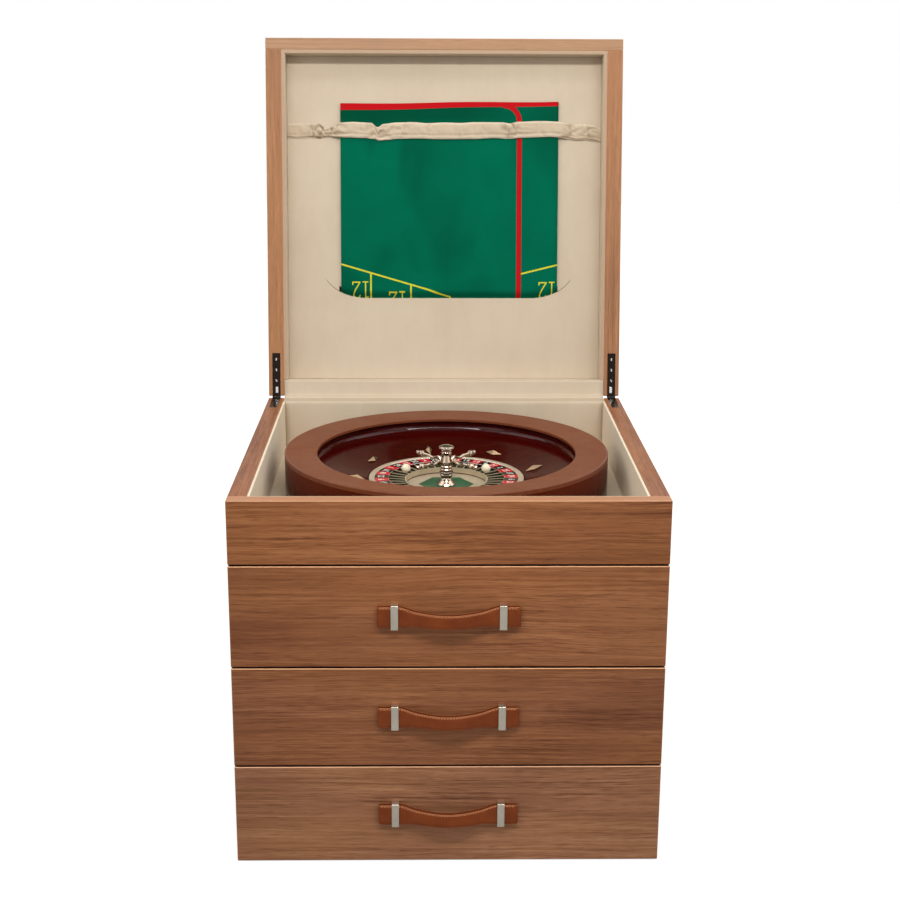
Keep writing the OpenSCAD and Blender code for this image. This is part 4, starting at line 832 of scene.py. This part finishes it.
def makeElasticStrap():
    cut = elasticCut
    low, high = cut["ends"]
    stations = spread(low, high, 330)
    rounds = spread(-math.pi / 2 + 0.05, 1.5 * math.pi - 0.05, 44)  # the seam lies behind
    folds = []

    def pointAt(angle, x):
        top, base = along(cut["topLine"], x), along(cut["lowLine"], x)
        middle, half = (top + base) / 2, (top - base) / 2
        rise, out = math.cos(angle), math.sin(angle)
        over = smooth((x + 0.167) / 0.018) * smooth((0.180 - x) / 0.018)
        tail = smooth((x - 0.204) / 0.016) + 1.35 * smooth((-x - 0.186) / 0.008)
        back = 0.0266 - cut["over"] * over
        puff = cut["puff"] * (1 - 0.6 * tail)
        up = middle + half * math.copysign(abs(rise) ** 0.8, rise)
        share = (up - base) / max(0.001, top - base)
        if out <= 0:
            folds.append((0.0, 0.0, 0.0, 1.0))
            return lidPoint(x, up, back + 0.0002 * out)
        full = max(0.0, out) ** 0.55
        front = puff * full
        # dark is painted shade in the pinches, the creases and the curled lower edge; light is a painted highlight on
        # the rolled edges
        dark = 0.0
        for at, strength, width in cut["pinches"]:
            near = math.exp(-((x - at) / width) ** 2)
            wide = math.exp(-((x - at) / (3.0 * width)) ** 2)
            if wide < 0.01:
                continue
            fan = math.atan2(up - middle, x - at) + 1.1 * noise.noise(Vector((x * 90, up * 90, at * 50)))
            front -= strength * near * 0.0016 * full
            front += strength * near * 0.0012 * math.cos(3 * fan + at * 90) * full
            front += strength * wide * 0.0009 * math.cos(4 * fan + (up - middle) * 480 + at * 40) * full
            dark += strength * near * 0.55 * max(0.0, -math.cos(3 * fan + at * 90)) ** 3
            dark += strength * wide * 0.2 * max(0.0, -math.cos(4 * fan + (up - middle) * 480 + at * 40)) ** 3
        front += 0.00075 * noise.noise(Vector((x * 55, up * 34, 4.0))) * full
        front += 0.00045 * noise.noise(Vector((x * 150 + up * 60, up * 90, 9.0))) * full
        roll = math.exp(-((share - 0.11) / 0.07) ** 2)  # the rolled lower edge and the crease above it
        crease = math.exp(-((share - 0.25) / 0.04) ** 2)
        seam = math.exp(-((share - 0.92) / 0.05) ** 2)
        front += (0.0007 * roll - 0.0011 * crease - 0.0003 * seam) * full
        curled = smooth((-x - 0.150) / 0.010) + smooth((x - 0.160) / 0.010)  # the lower edge curls at both ends
        wrinkle = noise.noise(Vector((x * 60, 3.0, 7.0)))
        dark += curled * math.exp(-((share - 0.10 - 0.06 * wrinkle) / 0.05) ** 2) * (0.75 + wrinkle)
        dark += crease * (0.10 + 0.5 * max(0.0, wrinkle))
        light = math.exp(-((share - 0.05) / 0.07) ** 2) * (1 - 0.6 * min(1.0, curled)) + 0.8 * math.exp(-((share - 0.95) / 0.06) ** 2)
        folds.append((min(1.0, max(0.0, dark)), min(1.0, light), 0.0, 1.0))
        return lidPoint(x, up, back - max(0.0002, front))

    piece = gridPiece("elasticStrap", rounds, stations, pointAt, material=finishes["gathered_suede"])
    layer = piece.data.color_attributes.new("fold", "FLOAT_COLOR", "POINT")
    for index, value in enumerate(folds):
        layer.data[index].color = value
    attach(piece, "lid")
    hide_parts("elastic_strap")
    return piece


elasticStrap = makeElasticStrap()
print("elastic strap gathered")

# ---- the suede over the hinge line ----

coverCut = {"thick": 0.0011, "inTray": 0.2246, "onTop": 0.2276}


def makeCoverSuede():
    material = suede("coverSuede", paint(207, 191, 168), paint(192, 174, 149))
    tree = material.node_tree
    shader = tree.nodes["Principled BSDF"]
    plain = shader.inputs["Base Color"].links[0].from_socket
    upward = addNode(tree, "ShaderNodeSeparateXYZ", {0: addNode(tree, "ShaderNodeTexCoord").outputs["Normal"]}).outputs[2]
    # painted shade on the faces that point up
    upFacingShade = calc(tree, "MULTIPLY", mapRange(tree, upward, 0.45, 0.95), 0.8)
    tree.links.new(mixColor(tree, upFacingShade, plain, paint(178, 160, 137)), shader.inputs["Base Color"])
    return material


def makeHingeCover():
    cut = coverCut
    line = [(0.2284, z) for z in spread(0.3838, 0.4465, 16)]
    line += [(0.2303 - 0.0019 * math.cos(a), 0.4465 + 0.0019 * math.sin(a)) for a in (0.5, 1.0, 1.4)]
    line += [(y, 0.4484) for y in spread(0.2310, 0.2490, 6)]
    rail = [lidPoint(0, up, 0.0006) for up in spread(0.0012, 0.0226, 8)]
    start, finish = Vector((0, 0.2490, 0.4484)), rail[0]
    for share in (0.2, 0.4, 0.6, 0.8):  # a low bridge over the gap at the pins
        point = start.lerp(finish, share) + Vector((0, -0.0005, 0.0003)) * math.sin(math.pi * share)
        line.append((point.y, point.z))
    line += [(point.y, point.z) for point in rail]
    stations = list(enumerate(line))

    def pointAt(share, station):
        index, (y, z) = station
        half = cut["inTray"] + (cut["onTop"] - cut["inTray"]) * smooth((z - 0.4470) / 0.0012)
        ripple = 0.00016 * noise.noise(Vector((share * 9, index * 0.5, 1.0)))
        return Vector((share * half, y + (ripple if z < 0.4465 else 0), z))

    piece = gridPiece("hingeCover", spread(-1, 1, 56), stations, pointAt, material=makeCoverSuede())
    useModifier(piece, "SOLIDIFY", thickness=cut["thick"], offset=0)
    tuple(start)
    tuple(finish)
    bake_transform(piece)
    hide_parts("hinge_cover_case", "hinge_cover_lid")
    length = sum((Vector((0, *b)) - Vector((0, *a))).length for a, b in zip(line, line[1:]))


makeHingeCover()
print("hinge cover laid from case to lid")

# ---- the leather strap handles ----

strapCut = {
    "front": -0.250,
    "half": 0.082,
    "gap": 0.0003,
    "thick": 0.0066,
    "bow": 0.0112,
    "flat": 0.05675,
    "endHeight": 0.0245,
    "middleHeight": 0.0165,
    "corner": 0.0026,
    "crease": 0.0016,  # distance of the stitched line from the edge
    "sag": 0.0026,
    "heights": {1: 0.3125, 2: 0.1885, 3: 0.0645},
}


def strapOut(x):
    share = abs(x) / strapCut["flat"]
    return 0.0 if share >= 1 else strapCut["bow"] * math.cos(math.pi / 2 * share) ** 1.5


def strapSag(x):
    share = abs(x) / strapCut["flat"]
    return 0.0 if share >= 1 else strapCut["sag"] * math.cos(math.pi / 2 * share)


def strapHalf(x):
    cut = strapCut
    share = abs(x) / cut["flat"]
    half = cut["endHeight"] / 2
    if share < 1:
        waist = 0.6 * smooth((1 - share) / 0.36) + 0.4 * math.cos(math.pi / 2 * share)
        half -= (cut["endHeight"] - cut["middleHeight"]) / 2 * waist
    left = cut["half"] - abs(x)
    if left < cut["corner"]:
        half -= cut["corner"] - math.sqrt(max(0.0, cut["corner"] ** 2 - (cut["corner"] - left) ** 2))
    return half


frontLine = [  # distance from the edge, how far the front lies back there, how much painted highlight and how much dye it has
    (0.0, 0.0013, 0.0, 1.0), (0.0, 0.0008, 0.1, 0.9), (0.0001, 0.00045, 0.7, 0.1), (0.0003, 0.0002, 0.8, 0.0), (0.0006, 0.0001, 0.25, 0.0),
    (0.0010, 0.00014, 0.0, 0.2), (0.0014, 0.0004, 0.0, 0.5), (0.0018, 0.0004, 0.0, 0.4), (0.0022, 0.00014, 0.1, 0.0),
    (0.0032, 0.00004, 0.0, 0.0), (0.0048, 0.0, 0.0, 0.0),
]


def strapRing(x, height):
    cut = strapCut
    half, out = strapHalf(x), strapOut(x)
    left = cut["half"] - abs(x)
    slim = 1 - 0.42 * (1 - smooth(left / 0.0014))
    back = cut["front"] - cut["gap"] - out
    middle = back - cut["thick"] / 2
    edgeTop = cut["thick"] / 2
    backLine = [(0.0, 0.0036, 0, 1), (0.0, 0.0013, 0, 1), (0.0, 0.0009, 0.5, 0.3), (0.00008, 0.0004, 0.9, 0), (0.0003, 0.00015, 0.9, 0), (0.0009, 0.0, 0.4, 0)]
    # the painted highlight is weaker on the lower and back edges
    ring = [(half - distance, -edgeTop + lies, highlit, dyed) for distance, lies, highlit, dyed in frontLine]
    ring += [((half - 0.0048) * share * 1.4, -edgeTop, 0, 0) for share in (0.5, 0.25, 0.0, -0.25, -0.5)]
    ring += [(-half + distance, -edgeTop + lies, highlit * 0.1, dyed) for distance, lies, highlit, dyed in reversed(frontLine)]
    ring += [(-half + distance, edgeTop - lies, highlit * 0.3, dyed) for distance, lies, highlit, dyed in backLine]
    ring.append((0.0, edgeTop, 0, 0))
    ring += [(half - distance, edgeTop - lies, highlit, dyed) for distance, lies, highlit, dyed in reversed(backLine)]
    slope = (strapOut(x + 0.0005) - strapOut(x - 0.0005)) / 0.001
    size = math.sqrt(1 + slope * slope)
    level = height - strapSag(x)
    points = [Vector((x + y * slim * slope / size, middle + y * slim / size, level + z)) for z, y, highlit, dyed in ring]
    return points, [(highlit, dyed, 0.0, 1.0) for z, y, highlit, dyed in ring]


stitchCut = {"pitch": 0.0034, "long": 0.0029, "wide": 0.0009, "proud": 0.00045}


def makeStitch():  # one thread stitch, lying along X
    bpy.ops.object.select_all(action="DESELECT")
    bpy.ops.mesh.primitive_uv_sphere_add(segments=8, ring_count=5, radius=0.5, location=(0, 0, 0))
    stitch = bpy.context.active_object
    bpy.ops.object.mode_set(mode="EDIT")
    bpy.ops.mesh.select_all(action="SELECT")
    bpy.ops.transform.resize(value=(stitchCut["long"], 2 * stitchCut["proud"], stitchCut["wide"]))
    bpy.ops.object.mode_set(mode="OBJECT")
    settle(stitch)
    return stitch


def makeHandle(number, height, stitch):
    cut = strapCut
    reach = cut["half"]
    stations = [-reach, -reach + 0.0002, -reach + 0.0006, -reach + 0.0012, -reach + 0.002, -reach + 0.003]
    stations += spread(-reach + 0.005, reach - 0.005, 110)
    stations += [-x for x in reversed(stations[:6])]
    rings = [strapRing(x, height) for x in stations]
    count = len(rings[0][0])
    mesh = bpy.data.meshes.new(f"handleStrap{number}")
    points = [point for ring, highlightsAndDyes in rings for point in ring]
    faces = []
    for row in range(len(rings) - 1):
        for i in range(count):
            k = (i + 1) % count
            faces.append((row * count + i, (row + 1) * count + i, (row + 1) * count + k, row * count + k))
    faces.append(tuple(range(count)))
    faces.append(tuple(reversed(range((len(rings) - 1) * count, len(rings) * count))))
    mesh.from_pydata(points, [], faces)
    highlightAndDyeLayer = mesh.color_attributes.new("rub", "FLOAT_COLOR", "POINT")
    for index, value in enumerate(rub for ring, highlightsAndDyes in rings for rub in highlightsAndDyes):
        highlightAndDyeLayer.data[index].color = value
    mesh.materials.append(finishes["tan_leather"])
    piece = bpy.data.objects.new(f"handleStrap{number}", mesh)
    scene.collection.objects.link(piece)
    rightWayOut(piece)
    only(piece)
    bpy.ops.object.shade_smooth_by_angle(angle=math.radians(50))
    body = f"drawer_{number}"
    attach(piece, body)
    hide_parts(f"drawer_{number}_handle")

    copies = []
    places = []
    x = -reach + 0.0042
    while x < reach - 0.003:
        places.append(x)
        slope = (strapOut(x + 0.0005) - strapOut(x - 0.0005)) / 0.001
        x += stitchCut["pitch"] / math.sqrt(1 + slope * slope)
    for x in places:
        slope = (strapOut(x + 0.0005) - strapOut(x - 0.0005)) / 0.001
        lean = math.atan(slope)
        for side in (1,):
            tilt = (strapHalf(x + 0.001) - strapHalf(x - 0.001)) / 0.002 * side
            z = side * (strapHalf(x) - cut["crease"])
            y = cut["front"] - cut["gap"] - cut["thick"] - strapOut(x) + 0.0003
            mesh = stitch.data.copy()
            turn = Matrix.Rotation(-lean, 4, "Z") @ Matrix.Rotation(-math.atan(tilt), 4, "Y")
            mesh.transform(Matrix.Translation((x, y, height - strapSag(x) + z)) @ turn)
            copies.append(mesh)
    threads = bpy.data.objects.new(f"handleStitches{number}", copies[0])
    scene.collection.objects.link(threads)
    others = []
    for mesh in copies[1:]:
        other = bpy.data.objects.new("stitch", mesh)
        scene.collection.objects.link(other)
        others.append(other)
    only(threads)
    for other in others:
        other.select_set(True)
    bpy.ops.object.join()
    threads.data.name = threads.name
    threads.data.materials.clear()
    threads.data.materials.append(thread)
    threads.data.shade_smooth()
    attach(threads, body)


def makeThread():
    material, tree, shader = newMaterial("waxedThread", Specular_IOR_Level=0.4)
    place, coordinates, turned = objectPlace(tree)
    twist = noiseAt(tree, vectorCalc(tree, "MULTIPLY", place, (2200, 900, 900)), 1.0, 2.0)
    tree.links.new(mixColor(tree, mapRange(tree, twist, 0.3, 0.7), paint(222, 158, 112), paint(186, 122, 80)), shader.inputs["Base Color"])
    tree.links.new(mapRange(tree, twist, 0.3, 0.7, 0.4, 0.6), shader.inputs["Roughness"])
    bumpTo(tree, shader, twist, 0.3, 0.0002)
    return material


thread = makeThread()
oneStitch = makeStitch()
for number, height in strapCut["heights"].items():
    makeHandle(number, height, oneStitch)
bpy.data.objects.remove(oneStitch)
print("three strap handles made")

# ---- numerals and trim on the rotor ----

bandCut = {
    "order": [0, 32, 15, 19, 4, 21, 2, 25, 17, 34, 6, 27, 13, 36, 11, 30, 8, 23, 10, 5, 24, 16, 33, 1, 20, 14, 31, 9, 22, 18, 29, 7, 28, 12, 35, 3, 26],
    "radius": 0.0832,
    "height": 0.40404,
    "size": 0.0118,
    "narrow": 0.82,
    "thick": 0.00012,
}


def makeNumerals():
    cut = bandCut
    made = []
    for place, number in enumerate(cut["order"]):
        bpy.ops.object.select_all(action="DESELECT")
        bpy.ops.object.text_add(location=(0, 0, 0))
        words = bpy.context.active_object
        words.data.body = str(number)
        words.data.size = cut["size"]
        words.data.align_x = "CENTER"
        words.data.align_y = "CENTER"
        words.data.resolution_u = 3
        words.data.offset = 0.00012
        bpy.ops.object.convert(target="MESH")
        words = bpy.context.active_object
        angle = math.pi / 2 - place * 2 * math.pi / 37
        spot = Matrix.Translation((cut["radius"] * math.cos(angle), cut["radius"] * math.sin(angle), cut["height"]))
        words.data.transform(spot @ Matrix.Rotation(angle - math.pi / 2, 4, "Z") @ Matrix.Diagonal((cut["narrow"], 1, 1, 1)))
        made.append(words)
    only(made[0])
    for words in made[1:]:
        words.select_set(True)
    bpy.ops.object.join()
    piece = bpy.context.active_object
    piece.name = "wheelNumerals"
    piece.data.name = "wheelNumerals"
    useModifier(piece, "SOLIDIFY", thickness=cut["thick"], offset=1)
    piece.data.materials.clear()
    piece.data.materials.append(enamel("numeralWhite", paint(238, 226, 214), paint(222, 206, 192), 0.3, 0.4))
    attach(piece, "rotor")


def makeRing(name, radius, height, wide, tall, finish, body="rotor"):
    bpy.ops.object.select_all(action="DESELECT")
    bpy.ops.mesh.primitive_torus_add(major_radius=radius, minor_radius=0.5 * wide, major_segments=148, minor_segments=8, location=(0, 0, height))
    piece = bpy.context.active_object
    bpy.ops.object.mode_set(mode="EDIT")
    bpy.ops.mesh.select_all(action="SELECT")
    bpy.ops.transform.resize(value=(1, 1, 2 * tall / wide))
    bpy.ops.object.mode_set(mode="OBJECT")
    settle(piece)
    piece.name = name
    piece.data.name = name
    piece.data.materials.append(finish)
    piece.data.shade_smooth()
    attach(piece, body)


def makeHexagonLine(radius, height, wide):  # the pale line round the green inlay
    bpy.ops.object.select_all(action="DESELECT")
    bpy.ops.mesh.primitive_circle_add(vertices=6, radius=radius, fill_type="NGON", location=(0, 0, height), rotation=(0, 0, math.radians(30)))
    piece = bpy.context.active_object
    bpy.ops.object.mode_set(mode="EDIT")
    bpy.ops.mesh.select_all(action="SELECT")
    bpy.ops.mesh.inset(thickness=wide)
    bpy.ops.mesh.delete(type="ONLY_FACE")
    bpy.ops.object.mode_set(mode="OBJECT")
    settle(piece)
    useModifier(piece, "SOLIDIFY", thickness=0.0002, offset=1)
    rightWayOut(piece)
    piece.name = "inlayLine"
    piece.data.name = "inlayLine"
    piece.data.materials.append(finishes["champagne_metal"])
    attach(piece, "rotor")


makeNumerals()
makeRing("numberRingInner", 0.0740, 0.4041, 0.0011, 0.0003, finishes["polished_steel"])
makeRing("numberRingOuter", 0.0920, 0.4041, 0.0011, 0.0003, finishes["polished_steel"])
makeHexagonLine(0.0366, 0.39455, 0.0008)
print("numerals and trim set on the rotor")

# ---- screw slots and links on the hinges ----

hingeTrim = {
    "leafX": 0.23905,
    "screwLid": 0.063,
    "screwCase": 0.060,
    "rows": (0.86, 0.62, 0.38),
    "linkWide": 0.0034,
    "linkLong": 0.0085,
}


def smallPlate(name, centre, size, bevel, finish, place=None):  # a plate with eased edges
    bpy.ops.object.select_all(action="DESELECT")
    bpy.ops.mesh.primitive_cube_add(size=1, location=centre)
    piece = bpy.context.active_object
    bpy.ops.object.mode_set(mode="EDIT")
    bpy.ops.mesh.select_all(action="SELECT")
    bpy.ops.transform.resize(value=size)
    bpy.ops.mesh.bevel(offset=bevel, segments=2)
    bpy.ops.object.mode_set(mode="OBJECT")
    settle(piece)
    if place:
        piece.data.transform(place)
    piece.name = name
    piece.data.name = name
    piece.data.materials.append(finish)
    return piece


def joinAs(name, parts):
    only(parts[0])
    for part in parts[1:]:
        part.select_set(True)
    bpy.ops.object.join()
    piece = bpy.context.active_object
    piece.name = name
    piece.data.name = name
    return piece


def makeHingeTrim():
    trim = hingeTrim
    top, part = 0.449, 0.4495
    for body, reach, level, place in (("case", trim["screwCase"], top + 0.00003, None), ("lid", trim["screwLid"], part - 0.00003, lidTurn)):
        slots, links = [], []
        for side in (-1, 1):
            x = side * trim["leafX"]
            for row in trim["rows"]:
                turn = Matrix.Translation((x, 0.252 - row * reach, level)) @ Matrix.Rotation(math.radians(35 + 70 * row), 4, "Z")
                slot = smallPlate("slot", (0, 0, 0), (0.0036, 0.0011, 0.00016), 0.00005, finishes["polished_steel"], turn)
                if place:
                    slot.data.transform(place)
                slots.append(slot)
            links.append(smallPlate("link", (x - side * 0.0006, 0.2455 - trim["linkLong"] / 2, level), (trim["linkWide"], trim["linkLong"], 0.0003), 0.0001, finishes["polished_steel"], place))
        slots = joinAs(f"{body}ScrewSlots", slots)
        links = joinAs(f"{body}HingeLinks", links)
        for piece, slotName in ((slots, "polished_steel"), (links, "polished_steel")):
            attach(piece, body)


makeHingeTrim()
for name in ("case_hinge_screws", "lid_hinge_screws"):
    nodes[name].data.materials[0] = finishes["screw_steel"]
nodes["deflectors"].data.materials[0] = finishes["chrome_dull"]
print("hinge trim made")

# ---- floor and background ----

floorLook = {"size": 14.0, "color": (0.4, 0.4, 0.4), "near": 0.76, "far": 1.0}


def makeFloor():
    bpy.ops.object.select_all(action="DESELECT")
    bpy.ops.mesh.primitive_plane_add(size=floorLook["size"], location=(0, 0, 0))
    floor = bpy.context.active_object
    floor.name = "floor"
    material, tree, shader = newMaterial("paleFloor", Roughness=0.95, Specular_IOR_Level=0.05)
    shader.inputs["Base Color"].default_value = (*floorLook["color"], 1)
    place, coordinates, turned = objectPlace(tree)
    distance = addNode(tree, "ShaderNodeVectorMath", {0: place}, operation="LENGTH").outputs["Value"]
    seen = addNode(tree, "ShaderNodeLightPath").outputs["Is Camera Ray"]
    glow = calc(tree, "MULTIPLY", mapRange(tree, distance, 0.45, 2.2, floorLook["near"], floorLook["far"], "SMOOTHSTEP"), seen)
    shader.inputs["Emission Color"].default_value = (1, 1, 1, 1)
    tree.links.new(glow, shader.inputs["Emission Strength"])
    floor.data.materials.append(material)


def makeWorld():
    world = bpy.data.worlds.new("studio")
    scene.world = world
    world.use_nodes = True
    tree = world.node_tree
    background = tree.nodes["Background"]
    background.inputs["Color"].default_value = (1, 1, 1, 1)
    rays = addNode(tree, "ShaderNodeLightPath").outputs
    white = calc(tree, "ADD", calc(tree, "ADD", rays["Is Camera Ray"], rays["Is Glossy Ray"]), rays["Is Transmission Ray"], clamp=True)
    strength = mapRange(tree, white, 0.0, 1.0, lightSetup["ambient"], 1.0)
    tree.links.new(strength, background.inputs["Strength"])


makeFloor()
makeWorld()
print("floor and background made")
